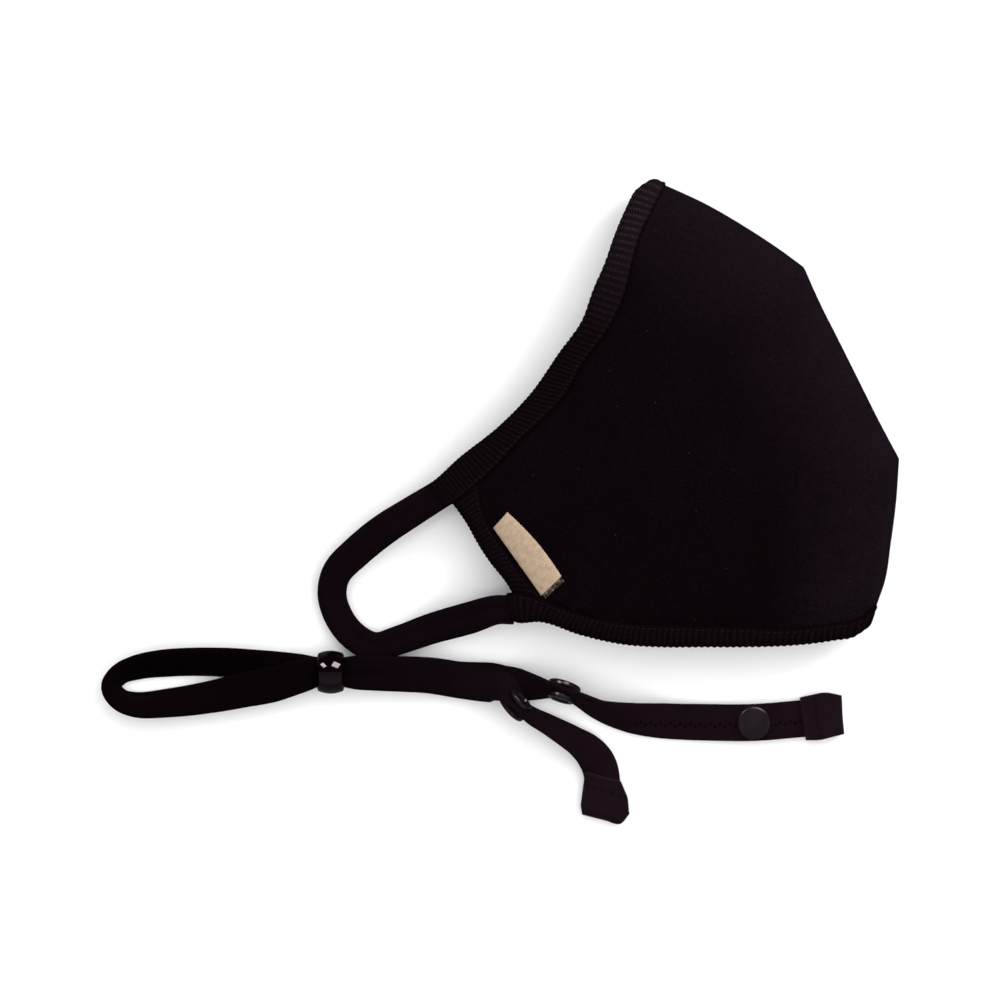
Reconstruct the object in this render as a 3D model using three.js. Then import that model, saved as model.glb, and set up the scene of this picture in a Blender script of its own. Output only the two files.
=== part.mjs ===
// Child's pollution mask: a two-panel knit cup with rib bindings, ear loops and a snap-on head strap.
// It lies on its left side on the plane z = 0, nose towards +X and +Y, chin towards -Y.
// Millimetres, +Z up. The origin is under the middle of the whole object.
import * as THREE from 'three';

// ---------------------------------------------------------------- driving sizes
const CLOTH_WALL = 2.0;          // panel cloth, three bonded layers
const KNIT_WALL = 0.8;           // one leg of the rib binding
const GAP = 0.3;                 // air between neighbouring pieces
const EDGE_INSET = KNIT_WALL + GAP + 0.2;   // binding fold to the cut edge of the panel
const TURN_TRIM = 0.5;           // more cloth trimmed off where a binding turns round the seam
const NOSE_SEAM_Z = 9;           // height of the centre seam at the nose and the chin
const SEAM_ARCH = 4;             // how much higher the seam is at the mouth
const END_RISE = 9;              // crown over the seam at the nose and the chin
const MOUTH_RISE = 7;            // extra crown at the mouth
const EAR_DROOP = 0.25;          // share of the crown lost towards the ear
const FLOOR_REACH = 0.37;        // share of the panel width over which the lower panel falls to the floor
const LOOP_WIDTH = 7.8;
const LOOP_THICK = 2.0;
const STRAP_WIDTH = 10;
const STRAP_THICK = 2.0;
const BEAD_RADIUS = 6.05;
const BEAD_BORE = 4.9;
const BEAD_LENGTH = 7.5;
const CAP_RADIUS = 4.7;
const CAP_HEIGHT = 1.3;
const SOCKET_RADIUS = 3.8;
const SOCKET_HEIGHT = 1.1;
const HEM_WALL = 0.7;

const V = (x, y, z = 0) => new THREE.Vector3(x, y, z);
const UP = V(0, 0, 1);
const mix = (a, b, share) => a.clone().lerp(b, share);

const fabric = (color, roughness) => new THREE.MeshStandardMaterial({ color, roughness, metalness: 0 });
const microfibre = fabric(0x17121a, 0.85);
const ribKnit = fabric(0x1f1820, 0.95);
const jersey = fabric(0x171117, 0.95);
const elastic = fabric(0x1a1218, 0.95);
const hemTape = fabric(0x221a21, 0.6);
const wovenTape = fabric(0xc9b393, 0.9);
const snapPlastic = fabric(0x241d24, 0.4);
const beadPlastic = fabric(0x0c080b, 0.12);

// ---------------------------------------------------------------- one closed wall from two grids of points
// outer[row][column] and inner[row][column] are the two faces of a wall; the rim closes it all round.
function wallGeometry(outer, inner) {
  const rows = outer.length;
  const columns = outer[0].length;
  const position = [];
  const index = [];
  for (const grid of [outer, inner]) {
    for (const row of grid) {
      for (const point of row) position.push(point.x, point.y, point.z);
    }
  }
  const at = (face, row, column) => (face * rows + row) * columns + column;
  const quad = (a, b, c, d) => index.push(a, b, c, a, c, d);
  for (let r = 0; r + 1 < rows; r += 1) {
    for (let c = 0; c + 1 < columns; c += 1) {
      quad(at(0, r, c), at(0, r, c + 1), at(0, r + 1, c + 1), at(0, r + 1, c));
      quad(at(1, r, c), at(1, r + 1, c), at(1, r + 1, c + 1), at(1, r, c + 1));
    }
    quad(at(0, r, 0), at(0, r + 1, 0), at(1, r + 1, 0), at(1, r, 0));
    const last = columns - 1;
    quad(at(0, r, last), at(1, r, last), at(1, r + 1, last), at(0, r + 1, last));
  }
  for (let c = 0; c + 1 < columns; c += 1) {
    quad(at(0, 0, c), at(1, 0, c), at(1, 0, c + 1), at(0, 0, c + 1));
    const last = rows - 1;
    quad(at(0, last, c), at(0, last, c + 1), at(1, last, c + 1), at(1, last, c));
  }
  const geometry = new THREE.BufferGeometry();
  geometry.setAttribute('position', new THREE.Float32BufferAttribute(position, 3));
  geometry.setIndex(index);
  if (signedVolume(geometry) < 0) index.reverse();
  geometry.setIndex(index);
  geometry.computeVertexNormals();
  return geometry;
}

function signedVolume(geometry) {
  const place = geometry.getAttribute('position');
  const corner = [V(0, 0), V(0, 0), V(0, 0)];
  let sum = 0;
  for (let i = 0; i < geometry.index.count; i += 3) {
    corner.forEach((point, k) => point.fromBufferAttribute(place, geometry.index.getX(i + k)));
    sum += corner[0].dot(corner[1].clone().cross(corner[2])) / 6;
  }
  return sum;
}

// A band swept through stations { place, across, normal }; section lists its points as [across, normal].
function bandGeometry(stations, section) {
  const face = (key) => stations.map((station) => section(station)[key].map(([a, n]) => (
    station.place.clone().addScaledVector(station.across, a).addScaledVector(station.normal, n)
  )));
  return wallGeometry(face('outer'), face('inner'));
}

// A flat knit tape with soft edges, centred on its station.
function tapeSection(width, thick) {
  const edge = width / 2;
  const flat = edge - thick * 0.4;
  const half = thick / 2;
  const rim = thick / 8;
  const outer = [[-edge, rim], [-flat, half], [flat, half], [edge, rim]];
  return { outer, inner: outer.map(([a, n]) => [a, -n]) };
}

// A strip folded over an edge: across runs from the fold to the strip's two open edges.
function foldSection(width, coreThick, leg, spread) {
  const out = (coreThick / 2 + GAP + leg) * spread;
  const hollow = (coreThick / 2 + GAP) * spread;
  const round = 1.2;
  const inside = round + 0.3;
  return {
    outer: [[width, out], [round, out], [0, out * 0.45], [0, -out * 0.45], [round, -out], [width, -out]],
    inner: [[width, hollow], [inside, hollow], [leg, hollow * 0.5], [leg, -hollow * 0.5],
      [inside, -hollow], [width, -hollow]],
  };
}

// ---------------------------------------------------------------- the mask's outline, seen from the side
// Face edge from the nose to the ear: where the binding folds over, and where its inner edge lies.
const FACE_EDGE = [
  { foldX: 41.4, foldY: 90.2, inX: 46.2, inY: 88.4 },
  { foldX: 38.1, foldY: 87.2, inX: 44.2, inY: 84.7 },
  { foldX: 35.0, foldY: 81.6, inX: 41.7, inY: 79.7 },
  { foldX: 31.9, foldY: 74.3, inX: 38.6, inY: 72.9 },
  { foldX: 29.3, foldY: 66.8, inX: 36.4, inY: 64.8 },
  { foldX: 26.0, foldY: 59.2, inX: 34.2, inY: 56.4 },
  { foldX: 22.7, foldY: 50.3, inX: 30.0, inY: 47.7 },
  { foldX: 16.5, foldY: 41.6, inX: 23.5, inY: 38.8 },
  { foldX: 8.7, foldY: 30.4, inX: 17.1, inY: 28.4 },
  { foldX: -0.8, foldY: 20.6, inX: 5.9, inY: 17.2 },
  { foldX: -11.8, foldY: 11.9, inX: -6.2, inY: 4.9 },
  { foldX: -19.0, foldY: 5.5, inX: -13.4, inY: -0.7 },
];
// Chin edge from the seam to the ear.
const CHIN_EDGE = [
  { foldX: 102.8, foldY: -36.0, inX: 105.3, inY: -29.0 },
  { foldX: 98.6, foldY: -37.9, inX: 99.7, inY: -32.5 },
  { foldX: 93.2, foldY: -38.9, inX: 93.5, inY: -33.9 },
  { foldX: 85.7, foldY: -39.9, inX: 86.2, inY: -35.0 },
  { foldX: 77.0, foldY: -40.5, inX: 77.4, inY: -35.6 },
  { foldX: 67.2, foldY: -40.7, inX: 67.2, inY: -35.1 },
  { foldX: 56.0, foldY: -40.7, inX: 56.0, inY: -34.9 },
  { foldX: 44.8, foldY: -40.7, inX: 45.1, inY: -34.6 },
  { foldX: 33.6, foldY: -39.9, inX: 34.7, inY: -33.9 },
  { foldX: 22.4, foldY: -37.4, inX: 24.6, inY: -32.2 },
  { foldX: 10.6, foldY: -33.7, inX: 12.6, inY: -27.9 },
  { foldX: 4.5, foldY: -34.7, inX: 3.2, inY: -25.6 },
];
// Centre seam from the nose to the chin, with its two corners over and under the mouth.
const SEAM = [
  { x: 46.2, y: 88.4 }, { x: 57.1, y: 83.3 }, { x: 68.6, y: 76.6 }, { x: 78.7, y: 69.9 },
  { x: 84.8, y: 65.4 }, { x: 89.0, y: 55.9 }, { x: 94.6, y: 44.7 }, { x: 100.2, y: 33.5 },
  { x: 105.8, y: 22.3 }, { x: 111.4, y: 11.9 }, { x: 110.6, y: -0.1 }, { x: 109.2, y: -11.3 },
  { x: 107.5, y: -22.5 }, { x: 105.3, y: -29.0 },
];
// Ear edge from the upper to the lower binding.
const EAR_EDGE = [
  { foldX: -13.4, foldY: -0.7, inX: -6.2, inY: 4.9 },
  { foldX: -9.8, foldY: -5.7, inX: -5.0, inY: -2.5 },
  { foldX: -6.7, foldY: -11.3, inX: -2.4, inY: -8.0 },
  { foldX: -3.1, foldY: -16.9, inX: 1.9, inY: -14.5 },
  { foldX: 1.4, foldY: -22.5, inX: 6.9, inY: -21.6 },
  { foldX: 3.2, foldY: -25.6, inX: 12.6, inY: -27.9 },
];

const SEAM_SHARES = arcShares(SEAM.map(({ x, y }) => V(x, y)));
const EDGE_SHARES = [0, 0.07, 0.15, 0.24, 0.34, 0.44, 0.55, 0.66, 0.78, 0.89, 1];   // from seam to ear

function arcShares(points) {
  const run = [0];
  for (let i = 1; i < points.length; i += 1) run.push(run[i - 1] + points[i].distanceTo(points[i - 1]));
  return run.map((length) => length / run[run.length - 1]);
}

// The ear edge at a share of its length, fold and inner edge.
function earEdge(share) {
  const inner = new THREE.CatmullRomCurve3(EAR_EDGE.map(({ inX, inY }) => V(inX, inY)));
  const fold = new THREE.CatmullRomCurve3(EAR_EDGE.map(({ foldX, foldY }) => V(foldX, foldY)));
  return { inner: inner.getPoint(share), fold: fold.getPoint(share) };
}

// ---------------------------------------------------------------- the cup's depth
// Middle of the cloth at a share s from seam to ear and t from nose to chin.
function clothHeight(side, s, t) {
  const arch = Math.sin(Math.PI * t) * (1 - s * s);
  const seam = NOSE_SEAM_Z + SEAM_ARCH * arch;
  if (side < 0) {
    const fall = (1 - Math.min(1, s / FLOOR_REACH)) ** 1.7;
    const hemLift = t === 0 || t === 1 || s === 1 ? KNIT_WALL + GAP + 0.1 : 0;
    return Math.max(CLOTH_WALL / 2 + hemLift, seam * fall);
  }
  const rise = END_RISE + MOUTH_RISE * arch;
  const crown = (1 - (1 - Math.min(1, s / 0.6)) ** 2) ** 0.8;
  return seam + rise * crown * (1 - EAR_DROOP * s ** 3);
}

// The middle surface of a panel: the field between the bindings, and a margin that goes into each binding.
function panelMiddle(side) {
  const rows = SEAM.length;
  const columns = EDGE_SHARES.length;
  const top = FACE_EDGE.map(({ inX, inY }) => V(inX, inY));
  const bottom = CHIN_EDGE.map(({ inX, inY }) => V(inX, inY));
  const seam = SEAM.map(({ x, y }) => V(x, y));
  const last = columns - 1;
  const field = seam.map((seamPoint, r) => {
    const t = SEAM_SHARES[r];
    const ear = earEdge(t).inner;
    return EDGE_SHARES.map((s, c) => {
      const point = mix(top[c], bottom[c], t).add(mix(seamPoint, ear, s));
      point.sub(mix(mix(top[0], top[last], s), mix(bottom[0], bottom[last], s), t));
      point.z = clothHeight(side, s, t);
      return point;
    });
  });
  const margin = (fold, inner, trim = 0) => mix(fold, inner, (EDGE_INSET + trim) / fold.distanceTo(inner));
  const withZ = (point, z) => V(point.x, point.y, z);
  const edgeRow = (table, fieldRow) => table.map(({ foldX, foldY, inX, inY }, c) => {
    const z = fieldRow[Math.min(c, last)].z;
    return margin(V(foldX, foldY, z), V(inX, inY, z), c < 2 ? TURN_TRIM : 0);
  });
  field.forEach((row, r) => {
    const edge = earEdge(SEAM_SHARES[r]);
    const z = row[last].z;
    row.push(margin(withZ(edge.fold, z), withZ(edge.inner, z)));
  });
  return [edgeRow(FACE_EDGE, field[0]), ...field, edgeRow(CHIN_EDGE, field[rows - 1])];
}

// Unit normals of a grid, pointing up on the right panel and down on the left one.
function gridNormals(grid, side) {
  const pick = (r, c) => grid[Math.min(Math.max(r, 0), grid.length - 1)][
    Math.min(Math.max(c, 0), grid[0].length - 1)];
  return grid.map((row, r) => row.map((point, c) => {
    const down = pick(r + 1, c).clone().sub(pick(r - 1, c));
    const over = pick(r, c + 1).clone().sub(pick(r, c - 1));
    const normal = down.cross(over).normalize();
    return normal.multiplyScalar(Math.sign(normal.z) * side);
  }));
}

// Inward direction in plan, square to the centre seam.
function seamInward(r) {
  const a = SEAM[Math.max(r - 1, 0)];
  const b = SEAM[Math.min(r + 1, SEAM.length - 1)];
  return V(b.y - a.y, a.x - b.x).normalize();
}

function panelGeometry(side) {
  const middle = panelMiddle(side);
  const normals = gridNormals(middle, side);
  const half = CLOTH_WALL / 2;
  const face = (reach) => middle.map((row, r) => row.map((point, c) => {
    if (c > 0) return point.clone().addScaledVector(normals[r][c], reach);
    const inBinding = r === 0 || r === middle.length - 1;
    const inward = seamInward(Math.min(Math.max(r - 1, 0), SEAM.length - 1));
    const place = point.clone().addScaledVector(inward, half * 1.1 - reach * (inBinding ? 0.7 : 1.1));
    place.z += side * GAP / 2;
    return place;
  }));
  return wallGeometry(face(half), face(-half));
}

// ---------------------------------------------------------------- bindings
// Stations along one side of a face or chin edge, from the seam to the ear.
function edgeStations(table, side, t) {
  const stations = table.map(({ foldX, foldY, inX, inY }, c) => {
    const s = EDGE_SHARES[Math.min(c, EDGE_SHARES.length - 1)];
    const z = clothHeight(side, s, t);
    const place = V(foldX, foldY, z);
    const across = V(inX, inY, z).sub(place);
    const width = across.length();
    return { place, across: across.normalize(), width, spread: 1 };
  });
  stations.forEach((station, c) => {
    const before = stations[Math.max(c - 1, 0)].place;
    const after = stations[Math.min(c + 1, stations.length - 1)].place;
    const along = after.clone().sub(before);
    station.normal = along.cross(station.across).normalize();
    station.normal.multiplyScalar(Math.sign(station.normal.z) * side);
  });
  return stations;
}

// One binding runs down the right panel, round the seam and up the left panel.
function bindingGeometry(table, t) {
  const right = edgeStations(table, 1, t);
  const left = edgeStations(table, -1, t);
  const turn = right[0];
  const row = t === 0 ? 0 : SEAM.length - 1;
  const inward = seamInward(row);
  turn.place.addScaledVector(inward, CLOTH_WALL / 2 * 1.1);
  turn.place.z = NOSE_SEAM_Z;
  turn.normal = inward.clone().negate();
  turn.spread = 1.3;
  right[1].spread = 1.15;
  left[1].spread = 1.15;
  const stations = [...right.slice(1).reverse(), turn, ...left.slice(1)];
  return bandGeometry(stations, (station) => foldSection(station.width, CLOTH_WALL, KNIT_WALL, station.spread));
}

function earBindingGeometry(side) {
  const steps = 8;
  const stations = [];
  for (let i = 0; i <= steps; i += 1) {
    const share = 0.06 + (0.88 * i) / steps;
    const edge = earEdge(share);
    const z = clothHeight(side, 1, share);
    const place = V(edge.fold.x, edge.fold.y, z);
    const across = V(edge.inner.x, edge.inner.y, z).sub(place);
    stations.push({ place, width: across.length(), spread: 1, across: across.normalize(), normal: V(0, 0, side) });
  }
  return bandGeometry(stations, (station) => foldSection(station.width, CLOTH_WALL, KNIT_WALL, 1));
}

// ---------------------------------------------------------------- tapes and straps that follow a route
// Each row is a point on the middle line. lean turns the tape about its own length, in degrees:
// 0 lies flat, 90 stands on edge with its left-hand edge up.
function routeStations(rows, stepsPerRow) {
  const curve = new THREE.CatmullRomCurve3(rows.map(({ x, y, z }) => V(x, y, z)), false, 'centripetal');
  const count = (rows.length - 1) * stepsPerRow;
  const stations = [];
  for (let i = 0; i <= count; i += 1) {
    const row = Math.min(Math.floor(i / stepsPerRow), rows.length - 2);
    const share = i / stepsPerRow - row;
    const between = (key) => THREE.MathUtils.lerp(rows[row][key], rows[row + 1][key], share);
    const along = curve.getTangent(i / count);
    const side = UP.clone().cross(along).normalize();
    const across = side.applyAxisAngle(along, THREE.MathUtils.degToRad(between('lean')));
    stations.push({
      place: curve.getPoint(i / count),
      across,
      normal: along.clone().cross(across).normalize(),
      width: between('wide'),
    });
  }
  return stations;
}

// The ear loop lies on the surface at its far end and rises to the binding at both ends.
const EAR_LOOP = [
  { x: -17.0, y: 1.9, rise: 1.00 }, { x: -25.2, y: -2.9, rise: 0.84 }, { x: -33.0, y: -7.7, rise: 0.62 },
  { x: -40.6, y: -13.9, rise: 0.38 }, { x: -45.9, y: -19.7, rise: 0.18 }, { x: -47.3, y: -25.9, rise: 0.07 },
  { x: -45.6, y: -32.1, rise: 0.01 }, { x: -41.4, y: -37.7, rise: 0 }, { x: -35.4, y: -40.9, rise: 0 },
  { x: -28.4, y: -39.3, rise: 0.03 }, { x: -19.6, y: -36.0, rise: 0.20 }, { x: -8.4, y: -32.6, rise: 0.60 },
  { x: -1.4, y: -30.6, rise: 0.90 }, { x: 2.9, y: -30.2, rise: 1.00 },
];

function earLoopGeometry(side, drop) {
  const bottom = side > 0 ? LOOP_THICK * 1.5 + GAP * 1.4 : LOOP_THICK / 2;
  const top = clothHeight(side, 1, 0);
  const rows = EAR_LOOP.map(({ x, y, rise }) => ({
    x,
    y: y - drop * Math.sin(Math.PI * Math.min(1, rise)),
    z: bottom + (top - bottom) * rise,
    lean: 0,
    wide: LOOP_WIDTH,
  }));
  return bandGeometry(routeStations(rows, 3), ({ width }) => tapeSection(width, LOOP_THICK));
}

// The head strap from its right end, under itself to the open loop at the left, and back over to its lower end.
const STRAP = [
  { x: 94.4, y: -60.6, z: 2.0, lean: 0, wide: 10.0 },
  { x: 84.0, y: -61.5, z: 2.0, lean: 0, wide: 10.0 },
  { x: 71.1, y: -62.2, z: 2.6, lean: 0, wide: 10.0, snap: 'end' },
  { x: 58.8, y: -62.2, z: 1.8, lean: 0, wide: 10.0 },
  { x: 46.2, y: -61.7, z: 2.0, lean: 9, wide: 10.0 },
  { x: 36.4, y: -60.5, z: 3.2, lean: 26, wide: 10.0 },
  { x: 28.0, y: -58.1, z: 4.6, lean: 45, wide: 10.0 },
  { x: 21.8, y: -55.1, z: 5.7, lean: 66, wide: 10.0 },
  { x: 17.4, y: -53.3, z: 5.8, lean: 68, wide: 10.0, snap: 'upper' },
  { x: 13.0, y: -51.9, z: 5.7, lean: 66, wide: 10.0 },
  { x: 5.6, y: -50.6, z: 4.8, lean: 49, wide: 10.0 },
  { x: 1.0, y: -50.1, z: 2.7, lean: 22, wide: 9.4 },
  { x: -2.8, y: -50.3, z: 1.7, lean: 2, wide: 10.0 },
  { x: -11.2, y: -50.0, z: 1.6, lean: -3, wide: 10.0 },
  { x: -20.0, y: -48.7, z: 3.3, lean: -10, wide: 10.0 },
  { x: -32.2, y: -48.2, z: 5.3, lean: -14, wide: 10.0 },
  { x: -40.0, y: -47.9, z: 5.4, lean: -10, wide: 9.6 },
  { x: -43.8, y: -47.9, z: 4.9, lean: 0, wide: 8.4 },
  { x: -51.4, y: -47.9, z: 4.9, lean: 0, wide: 8.4 },
  { x: -56.0, y: -47.5, z: 4.4, lean: -9, wide: 9.4 },
  { x: -65.8, y: -46.3, z: 3.8, lean: -28, wide: 10.0 },
  { x: -79.8, y: -45.4, z: 4.1, lean: -38, wide: 10.0 },
  { x: -93.8, y: -45.5, z: 4.3, lean: -40, wide: 10.0 },
  { x: -102.3, y: -46.2, z: 4.4, lean: -42, wide: 10.0 },
  { x: -106.2, y: -47.9, z: 4.5, lean: -43, wide: 10.0 },
  { x: -107.9, y: -51.8, z: 4.5, lean: -43, wide: 10.0 },
  { x: -106.2, y: -55.7, z: 4.5, lean: -43, wide: 10.0 },
  { x: -102.0, y: -57.4, z: 4.4, lean: -42, wide: 10.0 },
  { x: -92.4, y: -57.0, z: 4.3, lean: -38, wide: 10.0 },
  { x: -82.0, y: -55.4, z: 5.0, lean: -28, wide: 10.0 },
  { x: -72.8, y: -53.4, z: 6.2, lean: -14, wide: 10.0 },
  { x: -64.0, y: -51.4, z: 6.8, lean: -5, wide: 10.0 },
  { x: -56.0, y: -49.0, z: 7.3, lean: -3, wide: 9.4 },
  { x: -51.4, y: -47.9, z: 7.2, lean: 0, wide: 8.4 },
  { x: -43.8, y: -47.9, z: 7.2, lean: 0, wide: 8.4 },
  { x: -40.0, y: -48.1, z: 7.7, lean: 10, wide: 9.6 },
  { x: -32.2, y: -48.4, z: 7.7, lean: 14, wide: 10.0 },
  { x: -20.0, y: -49.0, z: 5.7, lean: 10, wide: 10.0 },
  { x: -11.2, y: -50.4, z: 4.0, lean: 3, wide: 10.0 },
  { x: -5.2, y: -51.4, z: 4.8, lean: 4, wide: 10.0 },
  { x: -1.6, y: -53.4, z: 7.2, lean: 38, wide: 10.0 },
  { x: 1.3, y: -56.5, z: 5.9, lean: 72, wide: 10.0 },
  { x: 4.4, y: -58.6, z: 5.6, lean: 78, wide: 10.0, snap: 'lower' },
  { x: 7.7, y: -60.6, z: 5.6, lean: 76, wide: 10.0 },
  { x: 13.6, y: -63.4, z: 5.5, lean: 62, wide: 10.0 },
  { x: 21.0, y: -67.4, z: 4.6, lean: 44, wide: 10.0 },
  { x: 25.4, y: -70.8, z: 3.2, lean: 20, wide: 10.0 },
  { x: 27.8, y: -74.6, z: 2.0, lean: 0, wide: 10.0 },
  { x: 28.7, y: -80.0, z: 2.0, lean: 0, wide: 10.0 },
  { x: 29.2, y: -86.2, z: 2.0, lean: 0, wide: 10.0 },
];
const STRAP_STEPS = 3;
const strapStations = routeStations(STRAP, STRAP_STEPS);

function strapGeometry() {
  return bandGeometry(strapStations, ({ width }) => tapeSection(width, STRAP_THICK));
}

// Wrapped hems over the strap's ends: closed is the fold, open is the hem's free edge.
const HEMS = {
  right: [
    { foldX: 95.8, foldY: -54.9, inX: 84.0, inY: -55.4 },
    { foldX: 96.2, foldY: -60.3, inX: 84.7, inY: -61.4 },
    { foldX: 96.9, foldY: -65.7, inX: 85.7, inY: -67.4 },
  ],
  lower: [
    { foldX: 22.9, foldY: -88.0, inX: 23.7, inY: -75.7 },
    { foldX: 29.2, foldY: -89.6, inX: 28.6, inY: -77.2 },
    { foldX: 33.6, foldY: -90.6, inX: 33.4, inY: -78.5 },
    { foldX: 36.3, foldY: -87.8, inX: 35.0, inY: -80.5 },
  ],
};

function hemGeometry(table) {
  const z = STRAP_THICK / 2 + GAP + HEM_WALL;
  const stations = table.map(({ foldX, foldY, inX, inY }) => {
    const place = V(foldX, foldY, z);
    const across = V(inX, inY, z).sub(place);
    return { place, width: across.length(), across: across.normalize(), normal: UP };
  });
  return bandGeometry(stations, ({ width }) => foldSection(width, STRAP_THICK, HEM_WALL, 1));
}

// ---------------------------------------------------------------- turned parts
function turned(profile, segments) {
  return new THREE.LatheGeometry(profile.map(([radius, height]) => new THREE.Vector2(radius, height)), segments);
}

function beadGeometry() {
  const end = BEAD_LENGTH / 2;
  const geometry = turned([
    [BEAD_BORE, -end], [BEAD_RADIUS - 0.7, -end], [BEAD_RADIUS - 0.2, -end * 0.8], [BEAD_RADIUS, -end * 0.45],
    [BEAD_RADIUS, end * 0.45], [BEAD_RADIUS - 0.2, end * 0.8], [BEAD_RADIUS - 0.7, end], [BEAD_BORE, end],
    [BEAD_BORE, -end],
  ], 32);
  return geometry.rotateZ(Math.PI / 2);
}

const capGeometry = () => turned([
  [0, 0], [CAP_RADIUS, 0], [CAP_RADIUS, CAP_HEIGHT * 0.45], [CAP_RADIUS * 0.93, CAP_HEIGHT * 0.8],
  [CAP_RADIUS * 0.7, CAP_HEIGHT], [0, CAP_HEIGHT],
], 28);

const socketGeometry = () => turned([
  [0, 0], [SOCKET_RADIUS, 0], [SOCKET_RADIUS, SOCKET_HEIGHT * 0.5], [SOCKET_RADIUS * 0.7, SOCKET_HEIGHT],
  [0, SOCKET_HEIGHT],
], 24);

// ---------------------------------------------------------------- the folded side label
const LABEL_ENDS = { earX: [-1.3, 12.2], earY: [-7.2, -26.2], outX: [1.9, 17.0], outY: [-3.0, -20.9] };
const LABEL_BOW = 0.9;
const LABEL_THICK = 0.9;
const LABEL_STEPS = 8;

function labelGeometry(panel) {
  const ray = new THREE.Raycaster();
  const onPanel = (x, y) => {
    ray.set(V(x, y, 100), V(0, 0, -1));
    return ray.intersectObject(panel)[0].point.z + GAP;
  };
  const under = [];
  for (let i = 0; i <= LABEL_STEPS; i += 1) {
    const share = i / LABEL_STEPS;
    const pick = ([from, to]) => THREE.MathUtils.lerp(from, to, share);
    const bow = LABEL_BOW * Math.sin(Math.PI * share);
    const near = V(pick(LABEL_ENDS.earX), pick(LABEL_ENDS.earY));
    const far = V(pick(LABEL_ENDS.outX) + bow * 0.75, pick(LABEL_ENDS.outY) + bow * 0.6);
    under.push([0, 0.33, 0.67, 1].map((part) => {
      const point = mix(near, far, part);
      point.z = onPanel(point.x, point.y);
      return point;
    }));
  }
  const over = under.map((row) => row.map((point) => point.clone().addScaledVector(UP, LABEL_THICK)));
  return wallGeometry(over, under);
}

// ---------------------------------------------------------------- the assembly
const mask = new THREE.Group();

function add(name, geometry, material) {
  const mesh = new THREE.Mesh(geometry, material);
  mesh.name = name;
  mask.add(mesh);
  return mesh;
}

const SIDES = [{ name: 'right', side: 1, drop: 0 }, { name: 'left', side: -1, drop: 1.1 }];
const panels = {};
for (const { name, side, drop } of SIDES) {
  panels[name] = add(`panel_${name}`, panelGeometry(side), microfibre);
  add(`ear_edge_binding_${name}`, earBindingGeometry(side), ribKnit);
  add(`ear_loop_${name}`, earLoopGeometry(side, drop), jersey);
}
add('upper_binding', bindingGeometry(FACE_EDGE, 0), ribKnit);
add('lower_binding', bindingGeometry(CHIN_EDGE, 1), ribKnit);
panels.right.updateMatrixWorld();
add('side_label', labelGeometry(panels.right), wovenTape);
add('head_strap', strapGeometry(), elastic);
for (const [name, table] of Object.entries(HEMS)) add(`strap_tab_${name}`, hemGeometry(table), hemTape);
add('strap_bead', beadGeometry(), beadPlastic).position.set(-47.6, -47.9, BEAD_RADIUS);

STRAP.forEach((row, i) => {
  if (!row.snap) return;
  const { place, normal } = strapStations[i * STRAP_STEPS];
  const seat = STRAP_THICK / 2 + GAP;
  const cap = add(`snap_cap_${row.snap}`, capGeometry(), snapPlastic);
  cap.position.copy(place).addScaledVector(normal, seat);
  cap.quaternion.setFromUnitVectors(V(0, 1, 0), normal);
  const socket = add(`snap_socket_${row.snap}`, socketGeometry(), snapPlastic);
  socket.position.copy(place).addScaledVector(normal, -seat);
  socket.quaternion.setFromUnitVectors(V(0, 1, 0), normal.clone().negate());
});

// The origin goes under the middle of the whole object.
const extent = new THREE.Box3().setFromObject(mask, true);
const middle = extent.getCenter(V(0, 0));
mask.position.set(-middle.x, -middle.y, 0);

export default mask;
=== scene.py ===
# %% [markdown]
# # A child's pollution mask, dressed in Blender
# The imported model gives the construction: two cloth panels, knit bindings, ear loops, a folded head
# strap, a bead and snaps. Here each piece gets its finish. Textiles are the hard part, because almost
# everything is one near-black colour: what tells the pieces apart is relief and the scale of the knit.
# So every knit piece is cut flat as a grid that remembers its own length and width, and is then laid
# along its route. The pattern follows the yarn, and not the world.

# %% Load the frame
import math

import bpy
import numpy as np
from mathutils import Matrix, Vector


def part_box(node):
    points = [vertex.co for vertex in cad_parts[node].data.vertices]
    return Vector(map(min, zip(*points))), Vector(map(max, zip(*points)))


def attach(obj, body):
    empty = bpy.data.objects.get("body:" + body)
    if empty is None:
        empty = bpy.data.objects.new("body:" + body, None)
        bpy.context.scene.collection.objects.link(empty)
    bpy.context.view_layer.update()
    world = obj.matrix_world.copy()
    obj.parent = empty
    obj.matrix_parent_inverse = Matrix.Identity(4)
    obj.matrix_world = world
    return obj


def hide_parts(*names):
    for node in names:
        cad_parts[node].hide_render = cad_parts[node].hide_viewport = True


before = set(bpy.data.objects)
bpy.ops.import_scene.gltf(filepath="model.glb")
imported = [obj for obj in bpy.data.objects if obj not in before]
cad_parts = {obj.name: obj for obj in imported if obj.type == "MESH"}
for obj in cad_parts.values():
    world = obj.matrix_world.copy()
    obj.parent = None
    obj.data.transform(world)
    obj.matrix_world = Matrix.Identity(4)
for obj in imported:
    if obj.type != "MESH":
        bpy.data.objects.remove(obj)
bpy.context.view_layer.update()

MM = 0.001

# %% [markdown]
# ## The view
# The mask lies on a pale table and is seen straight from above. A long lens far away keeps the
# outline free of perspective, as a product picture does.

# %% Camera
VIEW_WIDTH = 280.0 * MM          # what the picture spans at the height of the cloth
VIEW_HEIGHT_Z = 8.0 * MM
CAMERA_HEIGHT = 2.4
SENSOR = 36.0

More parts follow.
